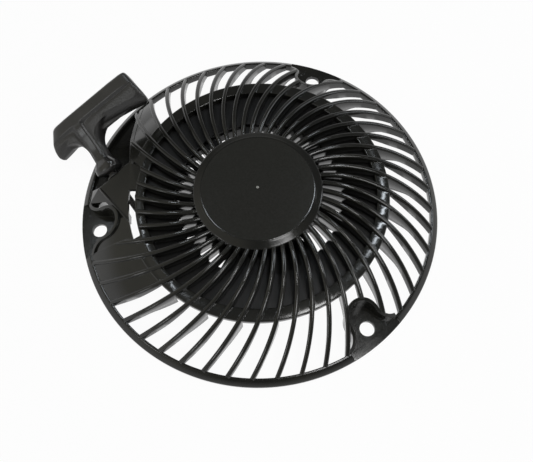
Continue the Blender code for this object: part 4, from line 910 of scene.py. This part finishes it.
def anchor_lead():
    """The rope's slanting way from its knot through the drum wall onto the drum."""
    end = winding_point(ROPE_DRUM_START)
    along = (winding_point(ROPE_DRUM_START + 1.0) - end).normalized()
    corner = end - along * ANCHOR_BEND
    corner.z = (ANCHOR_HEIGHT + ROPE_LOW_ROW) / 2
    toward_knot = ANCHOR_KNOT - corner
    reach = toward_knot.length - ANCHOR_KNOT_RADIUS * 0.6
    return bent(corner + toward_knot.normalized() * reach, corner, end, 16)


def winding_route():
    end = 360.0 * ROPE_FULL_TURNS + ROPE_ANCHOR_ANGLE - ROPE_EXIT_ANGLE
    steps = round((end - ROPE_DRUM_START) / WINDING_STEP)
    return anchor_lead() + [winding_point(w) for w in spaced(ROPE_DRUM_START, end, steps)[1:]]


def run_route():
    return [rope_line(d) for d in spaced(ROPE_RUN_START, ROPE_RUN_LENGTH + ROPE_RUN_PAST, 40)]


def lead_route():
    """Rope from the eyelet's mouth, bending into the handle's bore, up to its knot."""
    start = rope_line(ROPE_RUN_LENGTH + ROPE_RUN_PAST)
    corner = rope_line(ROPE_RUN_LENGTH + ROPE_BEND_DISTANCE)
    bend_end = corner + HANDLE_AXIS * (HANDLE_STANDOFF - 0.3)
    top = handle_place() @ (Vector((0.0, 0.0, INSERT_TOP)) * MM) / MM
    return bent(start, corner, bend_end, LEAD_BEND_STEPS) + spaced(bend_end, top, 30)[1:]


def rope(name, route):
    """Round cord along a route, with the length along it and the turn round it as its map."""
    lengths = [0.0]
    for a, b in zip(route, route[1:]):
        lengths.append(lengths[-1] + (b - a).length)
    rings = []
    side = None
    for i, place in enumerate(route):
        along = (route[min(i + 1, len(route) - 1)] - route[max(i - 1, 0)]).normalized()
        if side is None:
            side = along.orthogonal()
        side = (side - along * side.dot(along)).normalized()
        rings.append(ring_at(place, side, along.cross(side), ROPE_RADIUS))
    piece = loft(name, rings)
    layer = piece.data.uv_layers.new(name="along")
    girth = 2 * math.pi * ROPE_RADIUS
    for face in piece.data.polygons:
        numbers = [piece.data.loops[k].vertex_index for k in face.loop_indices]
        turns = [n % CORD_SIDES for n in numbers]
        wraps = max(turns) - min(turns) > CORD_SIDES / 2
        for k, number, turn in zip(face.loop_indices, numbers, turns):
            share = (turn + CORD_SIDES if wraps and turn == 0 else turn) / CORD_SIDES
            layer.data[k].uv = (lengths[number // CORD_SIDES] / girth, share)
    return smooth(piece, CORD_SHARP_ANGLE)


def knot(name, centre, radius, height, axis):
    """Figure of rope pulled into a knot: a cord round itself in a tight trefoil."""
    cord = 0.40 * radius
    scale = (radius - 0.42 * radius) / 3.0
    lift = height / 2 - cord
    place = placed(centre, axis, (1.0, 0.2, 0.1))
    curve = bpy.data.curves.new(name, "CURVE")
    curve.dimensions = "3D"
    curve.bevel_depth = cord * MM
    curve.bevel_resolution = 4
    spline = curve.splines.new("POLY")
    spline.points.add(KNOT_STEPS - 1)
    spline.use_cyclic_u = True
    for i, target in enumerate(spline.points):
        t = 2 * math.pi * i / KNOT_STEPS
        x = math.sin(t) + 2 * math.sin(2 * t)
        y = math.cos(t) - 2 * math.cos(2 * t)
        z = -math.sin(3 * t)
        target.co = (*(place @ (Vector((x * scale, y * scale, z * lift)) * MM)), 1.0)
    figure = new_object(name, curve)
    mesh = made_mesh(figure)
    bpy.data.objects.remove(figure)
    return smooth(new_object(name, mesh), CORD_SHARP_ANGLE)


# Pulley

def pulley_drum():
    """The pulley with rounded flange edges and its web's windows."""
    bore, sleeve = PULLEY_SLEEVE_BORE, PULLEY_SLEEVE_RADIUS
    inside, drum, flange = PULLEY_DRUM_INSIDE, PULLEY_DRUM_RADIUS, PULLEY_FLANGE_RADIUS
    low_flange = PULLEY_BOTTOM + PULLEY_FLANGE_THICKNESS
    high_flange = PULLEY_TOP - PULLEY_FLANGE_THICKNESS
    sleeve_top = CEILING - PULLEY_SLEEVE_GAP
    profile = [(bore, PULLEY_SLEEVE_BOTTOM), (sleeve, PULLEY_SLEEVE_BOTTOM),
               (sleeve, PULLEY_WEB_BOTTOM), (inside, PULLEY_WEB_BOTTOM), (inside, PULLEY_BOTTOM),
               (flange, PULLEY_BOTTOM), (flange, low_flange), (drum, low_flange),
               (drum, high_flange), (flange, high_flange), (flange, PULLEY_TOP),
               (inside, PULLEY_TOP), (inside, PULLEY_WEB_TOP), (sleeve, PULLEY_WEB_TOP),
               (sleeve, sleeve_top), (bore, sleeve_top)]
    pulley = turned("pulley_drum", softened(profile, PULLEY_ROUND), 180)
    half = WINDOW_WIDTH_ANGLE / 2
    for i in range(WINDOW_COUNT):
        if i in SOLID_WINDOWS:
            continue
        middle = WINDOW_PHASE + 360.0 / WINDOW_COUNT * i
        inner = WIDE_WINDOW_INNER_RADIUS if i in WIDE_WINDOWS else WINDOW_INNER_RADIUS
        outline = arc(inner, middle - half, middle + half, 12)
        outline += arc(inside - WINDOW_MARGIN, middle + half, middle - half, 14)
        cut(pulley, prism("window", softened(outline, WINDOW_ROUND), PULLEY_BOTTOM, PULLEY_TOP))
    for angle in PAWL_ANGLES:
        add(pulley, rod("post", PAWL_POST_RADIUS, PAWL_BOTTOM, PULLEY_WEB_BOTTOM + 1.0, 40,
                        polar(angle, PAWL_PIVOT_RADIUS)))
    return smooth(welded(pulley))


# Handle

def handle_place():
    """Placement of the handle: its base, with the bar along X and the stem along Z."""
    level = HANDLE_AXIS.cross(Vector((0.0, 0.0, 1.0))).normalized()
    twist = math.radians(HANDLE_TWIST)
    bar = level * math.cos(twist) + level.cross(HANDLE_AXIS) * math.sin(twist)
    base = rope_line(ROPE_RUN_LENGTH + ROPE_BEND_DISTANCE) + HANDLE_AXIS * HANDLE_STANDOFF
    return placed(base, HANDLE_AXIS, bar)


def rounded(left, right, half_thickness, power, height, slope=0.0):
    """One level of the handle: a rounded rectangle, by its reach to the left and right."""
    middle = (right - left) / 2
    half_width = (right + left) / 2
    ring = []
    for i in range(GRIP_STEPS):
        angle = 2 * math.pi * i / GRIP_STEPS
        c, s = math.cos(angle), math.sin(angle)
        x = middle + half_width * math.copysign(abs(c) ** (2 / power), c)
        y = half_thickness * math.copysign(abs(s) ** (2 / power), s)
        ring.append((x, y, height - slope * abs(x)))
    return ring


def grip_stem():
    """Flared base and a stem that spreads into the bar."""
    soft, square = 3.2, 2.8
    base, thick = GRIP_BASE_HALF_WIDTH, GRIP_BASE_HALF_THICKNESS
    stem = STEM_HALF_WIDTH
    foot = 0.74
    rings = [rounded(foot * base, foot * base, foot * thick, square, 0.0)]
    for height in (0.35 * GRIP_BASE_FLAT, GRIP_BASE_FLAT):
        rings.append(rounded(base, base, thick, square, height))
    rings.append(rounded(stem, stem, STEM_HALF_THICKNESS, soft, GRIP_BASE_LENGTH))
    root = 0.97 * GRIP_HALF_THICKNESS
    for share in spaced(0.0, 1.0, 12):
        turn = math.radians(90.0 * share)
        spread = STEM_FILLET * (1 - math.cos(turn))
        thickness = STEM_HALF_THICKNESS + (root - STEM_HALF_THICKNESS) * share
        height = GRIP_BAR_BOTTOM - STEM_FILLET * (1 - math.sin(turn))
        rings.append(rounded(stem + spread, stem + STEM_RIGHT_FILLET * spread, thickness, soft,
                             height))
    root_height = GRIP_BAR_BOTTOM + STEM_ROOT_SHARE * GRIP_BAR_DEPTH
    rings.append(rounded(STEM_ROOT_WIDTH, STEM_ROOT_WIDTH, root, soft, root_height))
    return loft("stem", rings)


def grip_limit(x, z):
    """Half thickness of the grip: a raised T-shaped band, with a step and groove beside it."""
    if z < GRIP_BASE_LENGTH:
        return GRIP_HALF_THICKNESS
    below = max(GRIP_STRIP_EDGE - z, 0.0)
    beside_stem = max(abs(x) - GRIP_BAND_HALF, 0.0)
    away = below * beside_stem / (below + beside_stem + 0.01)
    stem_top = 1.5 * GRIP_BASE_LENGTH
    thicker = GRIP_HALF_THICKNESS - STEM_HALF_THICKNESS
    band = STEM_HALF_THICKNESS + thicker * eased(z, stem_top, GRIP_STRIP_EDGE)
    step = GRIP_STEP * (1 - math.exp(-away / GRIP_STEP_REACH))
    groove = GRIP_GROOVE * math.exp(-(away / GRIP_STEP_REACH - 1.5) ** 2)
    return band - (step + groove) * eased(z, GRIP_BASE_LENGTH, stem_top)


def carve_grip(grip):
    """Set the finger sides back from the T-shaped band, and slant the long end."""
    for vertex in grip.data.vertices:
        x, y, z = vertex.co / MM
        limit = grip_limit(x, z)
        y = min(max(y, -limit), limit)
        end = eased(x, GRIP_END_START, GRIP_RIGHT_LENGTH)
        x -= GRIP_END_SLANT * (y + GRIP_HALF_THICKNESS) * end
        vertex.co = Vector((x, y, z)) * MM
    relax(grip, 2)


def grip_body():
    """T-shaped grip, its bar and stem melted into one moulded form, with the cap's pocket."""
    rings = []
    for rise, left, right, thickness in GRIP_BAR_SHAPE:
        rings.append(rounded(left * GRIP_LEFT_LENGTH, right * GRIP_RIGHT_LENGTH,
                             thickness * GRIP_HALF_THICKNESS, GRIP_BAR_POWER,
                             GRIP_BAR_BOTTOM + rise * GRIP_BAR_DEPTH,
                             (1.0 - rise) * GRIP_FINGER_SLOPE))
    grip = boolean(loft("grip_body", rings), grip_stem(), "UNION", "EXACT")
    remesh = grip.modifiers.new("remesh", "REMESH")
    remesh.mode = "VOXEL"
    remesh.voxel_size = GRIP_VOXEL * MM
    relax(grip, 6)
    carve_grip(grip)
    cut(grip, rod("pocket", GRIP_POCKET_RADIUS, GRIP_HEIGHT - GRIP_POCKET_DEPTH,
                  GRIP_HEIGHT + 1.0, 64))
    grip.data.transform(handle_place())
    return smooth(grip, GRIP_SHARP_ANGLE)


# Materials

class Nodes:
    """Small builder for the nodes of a material or the world."""

    def __init__(self, owner, shader="Principled BSDF"):
        owner.use_nodes = True
        self.owner = owner
        self.tree = owner.node_tree
        self.shader = self.tree.nodes[shader]

    def node(self, kind, values=(), **settings):
        made = self.tree.nodes.new(kind)
        for key, value in settings.items():
            setattr(made, key, value)
        for key, value in values:
            made.inputs[key].default_value = value
        return made

    def link(self, source, target):
        self.tree.links.new(source, target)

    def wire(self, made, sources):
        """Link sources to a node's inputs, and hand on its first output."""
        for key, source in sources.items():
            self.link(source, made.inputs[key])
        return made.outputs[0]

    def feed(self, source, name):
        self.link(source, self.shader.inputs[name])

    def fix(self, name, value):
        self.shader.inputs[name].default_value = value

    def place(self):
        return self.node("ShaderNodeTexCoord").outputs["Object"]

    def place_in(self, matrix):
        """Place against a frame of its own, such as the handle's."""
        values = (("Location", matrix.to_translation()), ("Rotation", matrix.to_euler()))
        made = self.node("ShaderNodeMapping", values, vector_type="TEXTURE")
        return self.wire(made, {"Vector": self.place()})

    def split(self, vector):
        made = self.node("ShaderNodeSeparateXYZ")
        self.link(vector, made.inputs[0])
        return made.outputs

    def noise(self, scale, detail, rough, at):
        values = (("Scale", scale), ("Detail", detail), ("Roughness", rough))
        return self.wire(self.node("ShaderNodeTexNoise", values), {"Vector": at})

    def ramp(self, source, low, high, start=NOISE_LOW, end=NOISE_HIGH):
        """Map a value from one range to another, with its ends held."""
        values = (("From Min", start), ("From Max", end), ("To Min", low), ("To Max", high))
        return self.wire(self.node("ShaderNodeMapRange", values), {"Value": source})

    def blend(self, factor, first, second):
        """Mix of two colours, each given as numbers or by a node."""
        made = self.node("ShaderNodeMix", data_type="RGBA")
        self.link(factor, made.inputs["Factor"])
        sockets = [s for s in made.inputs if s.type == "RGBA"]
        for socket, colour in zip(sockets, (first, second)):
            if isinstance(colour, tuple):
                socket.default_value = (*colour, 1.0)
            else:
                self.link(colour, socket)
        return [s for s in made.outputs if s.type == "RGBA"][0]

    def tint(self, source, first, second, start=NOISE_LOW, end=NOISE_HIGH):
        """Colour that goes from one to another with a value."""
        return self.blend(self.ramp(source, 0.0, 1.0, start, end), first, second)

    def seen(self, straight_share, mirrored_share):
        """Share for rays from the camera or through glass, and for mirrored ones."""
        rays = self.node("ShaderNodeLightPath").outputs
        straight = self.math("MAXIMUM", rays["Is Camera Ray"], rays["Is Transmission Ray"])
        return self.math("MAXIMUM", self.math("MULTIPLY", straight, straight_share),
                         self.math("MULTIPLY", rays["Is Glossy Ray"], mirrored_share))

    def math(self, operation, *values):
        made = self.node("ShaderNodeMath", operation=operation)
        for socket, value in zip(made.inputs, values):
            if isinstance(value, float):
                socket.default_value = value
            else:
                self.link(value, socket)
        return made.outputs[0]

    def bump(self, height, distance, strength, onto=None):
        made = self.node("ShaderNodeBump", (("Distance", distance), ("Strength", strength)))
        return self.wire(made, {"Height": height, "Normal": onto} if onto else {"Height": height})

    def rounded_edges(self, radius):
        return self.node("ShaderNodeBevel", (("Radius", radius),), samples=6).outputs["Normal"]


def housing_material():
    """Glossy black moulding, satin on the hub's face, whose lighter colour is partly a painted
    sheen, with faint flow marks and dust.
    """
    m = Nodes(bpy.data.materials.new("moulded_black_gloss"))
    place = m.place()
    at = m.split(place)
    radius = m.math("SQRT", m.math("ADD", m.math("POWER", at["X"], 2.0),
                                   m.math("POWER", at["Y"], 2.0)))
    on_face = m.math("MULTIPLY", m.math("LESS_THAN", radius, (HUB_FACE_RADIUS - 0.6) * MM),
                     m.math("GREATER_THAN", at["Z"], (HUB_HEIGHT - 0.2) * MM))
    flow = m.noise(38.0, 5.0, 0.6, place)
    dust = m.noise(900.0, 3.0, 0.7, place)
    colour = m.tint(flow, (0.0085, 0.0087, 0.0078), (0.0150, 0.0146, 0.0120), 0.35)
    # The hub's face is coloured lighter than the rest of the housing: partly a painted sheen
    # standing in for its satin reflection, varied by the dust noise
    face = m.tint(dust, (0.0165, 0.0165, 0.0145), (0.021, 0.0208, 0.0185), 0.35)
    on_gate = m.math("MULTIPLY", on_face, m.math("LESS_THAN", radius, GATE_MARK_RADIUS * MM))
    m.feed(m.blend(on_gate, m.blend(on_face, colour, face), (0.30, 0.30, 0.28)), "Base Color")
    gloss = m.math("ADD", m.ramp(flow, 0.10, 0.16), m.ramp(dust, 0.0, 0.05, 0.5, 0.75))
    satin = m.math("ADD", m.ramp(dust, 0.10, 0.14, 0.35, 0.65), m.ramp(flow, -0.01, 0.01))
    either = m.node("ShaderNodeMix", data_type="FLOAT")
    m.feed(m.wire(either, {0: on_face, 2: gloss, 3: satin}), "Roughness")
    ripple = m.bump(m.noise(260.0, 2.0, 0.5, place), 0.00003, 0.5, m.rounded_edges(0.00045))
    m.feed(m.bump(dust, 0.00001, 0.35, ripple), "Normal")
    m.fix("Specular IOR Level", 0.42)
    return m.owner


def grip_material():
    """Finely grained finger surfaces, a smoother band over palm edge and stem, a glossy base."""
    m = Nodes(bpy.data.materials.new("grained_black"))
    place = m.place_in(handle_place())
    at = m.split(place)
    band_start = GRIP_STRIP_EDGE * MM
    bar_side = m.ramp(at["Z"], 1.0, 0.0, band_start - 0.0004, band_start + 0.0004)
    above_base = m.ramp(at["Z"], 0.0, 1.0, 0.008, 0.012)
    off_stem = m.ramp(m.math("ABSOLUTE", at["X"]), 0.0, 1.0, 0.0022, 0.0034)
    grained = m.math("MULTIPLY", m.math("MULTIPLY", bar_side, above_base), off_stem)
    stray = m.node("ShaderNodeTexNoise", (("Scale", 420.0), ("Detail", 3.0)))
    m.wire(stray, {"Vector": place})
    spread = m.wire(m.node("ShaderNodeVectorMath", (("Scale", 0.0009),), operation="SCALE"),
                    {0: stray.outputs["Color"]})
    warp = m.wire(m.node("ShaderNodeVectorMath", operation="ADD"), {0: place, 1: spread})
    cells = m.node("ShaderNodeTexVoronoi", (("Scale", 1150.0), ("Randomness", 1.0)), feature="F1")
    grain = m.math("MULTIPLY", m.wire(cells, {"Vector": warp}), grained)
    fine = m.noise(2400.0, 2.0, 0.6, place)
    cloud = m.noise(90.0, 4.0, 0.6, place)
    m.feed(m.tint(cloud, (0.010, 0.010, 0.0105), (0.019, 0.018, 0.017)), "Base Color")
    rough = m.math("ADD", m.ramp(grained, 0.30, 0.36, 0.0, 1.0), m.ramp(cloud, -0.05, 0.06))
    m.feed(m.math("MULTIPLY", rough, m.ramp(above_base, 0.5, 1.0, 0.0, 1.0)), "Roughness")
    m.feed(m.bump(fine, 0.00002, 0.4, m.bump(grain, 0.00012, 0.7)), "Normal")
    return m.owner


def rope_material():
    """Braided cord: two sets of strands that cross round it."""
    m = Nodes(bpy.data.materials.new("braided_cord"))
    at = m.split(m.node("ShaderNodeUVMap", uv_map="along").outputs["UV"])
    along = m.math("MULTIPLY", at["X"], 6.0)
    around_it = m.math("MULTIPLY", at["Y"], 4.0)
    strands = []
    for operation in ("ADD", "SUBTRACT"):
        turn = m.math("MULTIPLY", m.math(operation, along, around_it), 2 * math.pi)
        strands.append(m.math("SINE", turn))
    weave = m.math("MAXIMUM", *strands)
    fibre = m.noise(3000.0, 3.0, 0.7, m.place())
    m.feed(m.tint(weave, (0.006, 0.0055, 0.005), (0.035, 0.030, 0.026), -0.4, 1.0), "Base Color")
    m.feed(m.ramp(fibre, 0.65, 0.9, 0.0, 1.0), "Roughness")
    m.feed(m.bump(fibre, 0.00005, 0.5, m.bump(weave, 0.0003, 0.8)), "Normal")
    m.fix("Sheen Weight", 0.15)
    return m.owner


def metal_material(name, light, dark, rough, grain):
    """Plated or blued steel with faint brushing and stains."""
    m = Nodes(bpy.data.materials.new(name))
    place = m.place()
    stretch = m.node("ShaderNodeMapping", (("Scale", (1.0, 1.0, 18.0)),))
    lines = m.noise(grain, 3.0, 0.6, m.wire(stretch, {"Vector": place}))
    stain = m.noise(140.0, 4.0, 0.6, place)
    m.feed(m.tint(stain, dark, light), "Base Color")
    m.feed(m.math("ADD", m.ramp(lines, rough, rough + 0.14), m.ramp(stain, -0.04, 0.05)),
           "Roughness")
    m.feed(m.bump(lines, 0.00001, 0.4, m.rounded_edges(0.0002)), "Normal")
    m.fix("Metallic", 1.0)
    return m.owner


def nylon_material():
    """Satin black pulley plastic with a faint mottle."""
    m = Nodes(bpy.data.materials.new("satin_nylon"))
    place = m.place()
    cloud = m.noise(60.0, 4.0, 0.6, place)
    fine = m.noise(1600.0, 2.0, 0.6, place)
    m.feed(m.tint(cloud, (0.0035, 0.0035, 0.0036), (0.0065, 0.0062, 0.0058)), "Base Color")
    m.feed(m.ramp(cloud, 0.44, 0.56), "Roughness")
    m.feed(m.bump(fine, 0.00001, 0.3, m.rounded_edges(0.0003)), "Normal")
    m.fix("Specular IOR Level", 0.3)
    return m.owner


def dress(piece, material):
    piece.data.materials.clear()
    piece.data.materials.append(material)


def stand_for(piece, body, slot, material, *nodes):
    """Put a new piece in the place of CAD nodes."""
    dress(piece, material)
    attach(piece, body)
    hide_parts(*nodes)


def build():
    gloss = housing_material()
    grained = grip_material()
    cord = rope_material()
    nylon = nylon_material()
    dark = metal_material("phosphated_steel", (0.09, 0.088, 0.085), (0.05, 0.05, 0.05), 0.40, 500.0)
    zinc = metal_material("zinc_plate", (0.62, 0.61, 0.57), (0.48, 0.47, 0.42), 0.26, 500.0)
    spring = metal_material("blued_spring", (0.36, 0.35, 0.34), (0.20, 0.19, 0.20), 0.22, 800.0)

    stand_for(housing_shell(), "housing", "housing_plastic", gloss, "starter_housing")
    stand_for(pulley_drum(), "pulley", "nylon", nylon, "rope_pulley")
    stand_for(grip_body(), "handle", "grip_plastic", grained, "handle_grip")
    stand_for(rope("wound_cord", winding_route()), "pulley", "rope", cord, "rope_winding")
    stand_for(rope("running_cord", run_route()), "housing", "rope", cord, "rope_run")
    anchor = knot("anchor_figure", ANCHOR_KNOT, ANCHOR_KNOT_RADIUS, ANCHOR_KNOT_RADIUS,
                  (0.0, 0.0, 1.0))
    stand_for(anchor, "pulley", "rope", cord, "rope_anchor_knot")
    low, high = (Vector(c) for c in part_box("handle_knot"))
    end_knot = knot("end_figure", (low + high) / 2 / MM, END_KNOT_RADIUS, END_KNOT_HEIGHT,
                    HANDLE_AXIS)
    stand_for(end_knot, "handle", "rope", cord, "handle_knot")

    route = lead_route()
    lead = rope("pulled_cord", route)
    dress(lead, cord)
    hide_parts("rope_lead")
    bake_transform(lead)

    for material, names in (
            (grained, ("handle_cap",)), (nylon, ("pawl_guide",)),
            (spring, ("rewind_spring", "pawl_spring_a", "pawl_spring_b", "friction_spring")),
            (dark, ("spring_retainer", "rope_eyelet")),
            (zinc, ("handle_insert", "pawl_a", "pawl_b", "thrust_washer", "centre_screw"))):
        for name in names:
            dress(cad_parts[name], material)


# Stage, light and camera

def floor_material():
    """White to the camera and in reflections, with a faint shadow kept; clear from below."""
    m = Nodes(bpy.data.materials.new("pale_floor"))
    paper = m.noise(40.0, 3.0, 0.5, m.place())
    m.feed(m.tint(paper, (0.80, 0.80, 0.80), (0.82, 0.82, 0.82)), "Base Color")
    m.fix("Roughness", 0.9)
    m.fix("Specular IOR Level", 0.0)
    white = m.node("ShaderNodeEmission", (("Strength", 1.0),))
    above = m.wire(m.node("ShaderNodeMixShader"), {0: m.seen(FLOOR_WHITE, FLOOR_WHITE),
                                                   1: m.shader.outputs[0], 2: white.outputs[0]})
    from_below = m.node("ShaderNodeNewGeometry").outputs["Backfacing"]
    clear = m.node("ShaderNodeBsdfTransparent").outputs[0]
    surface = m.wire(m.node("ShaderNodeMixShader"), {0: from_below, 1: above, 2: clear})
    m.link(surface, m.tree.nodes["Material Output"].inputs["Surface"])
    return m.owner


def stage():
    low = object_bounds()[0].z - FLOOR_GAP
    corners = ((-1, -1), (1, -1), (1, 1), (-1, 1))
    mesh = bpy.data.meshes.new("floor")
    mesh.from_pydata([(x * FLOOR_REACH, y * FLOOR_REACH, low) for x, y in corners],
                     [], [(0, 1, 2, 3)])
    floor = new_object("floor", mesh)
    dress(floor, floor_material())
    floor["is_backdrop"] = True


def lamp(name, place, target, size, watts, colour=(1.0, 1.0, 1.0)):
    """Soft box aimed at a point of the object, in metres."""
    data = bpy.data.lights.new(name, "AREA")
    data.shape = "RECTANGLE"
    data.size, data.size_y = size
    data.energy = watts
    data.color = colour
    made = new_object(name, data)
    made.visible_camera = False
    made.location = place
    made.rotation_euler = (Vector(target) - Vector(place)).to_track_quat("-Z", "Y").to_euler()


def light():
    for row in LAMPS:
        lamp(*row)
    w = Nodes(bpy.data.worlds.new("studio"), "Background")
    direction = w.node("ShaderNodeTexCoord").outputs["Generated"]
    toward = w.node("ShaderNodeVectorMath", ((1, WALL_DIRECTION),), operation="DOT_PRODUCT")
    w.link(direction, toward.inputs[0])
    mirrored = w.ramp(w.split(direction)["Z"], WORLD_WHITE, CEILING_MIRRORED, BACKDROP_TOP,
                      CEILING_START)
    wall = w.node("ShaderNodeValToRGB")
    w.link(toward.outputs["Value"], wall.inputs[0])
    w.feed(w.blend(w.seen(WORLD_WHITE, mirrored), wall.outputs[0], (1.0, 1.0, 1.0)), "Color")
    stops = wall.color_ramp.elements
    stops[0].position = 0.0
    stops[0].color = (0.09, 0.09, 0.088, 1.0)
    stops[1].position = 0.95
    stops[1].color = (0.62, 0.60, 0.52, 1.0)
    stops.new(0.55).color = (0.07, 0.07, 0.066, 1.0)
    bpy.context.scene.world = w.owner


def camera():
    data = bpy.data.cameras.new("photo_view")
    data.sensor_width = 36.0
    data.lens = CAMERA_LENS
    data.clip_start = 0.01
    made = new_object("photo_view", data)
    turn = Matrix((CAMERA_RIGHT, CAMERA_UP, -Vector(CAMERA_FORWARD))).transposed().to_4x4()
    made.matrix_world = Matrix.Translation(Vector(CAMERA_PLACE) * MM) @ turn
    bpy.context.scene.camera = made


camera()
build()
stage()
light()
bpy.context.scene.view_settings.view_transform = "Standard"
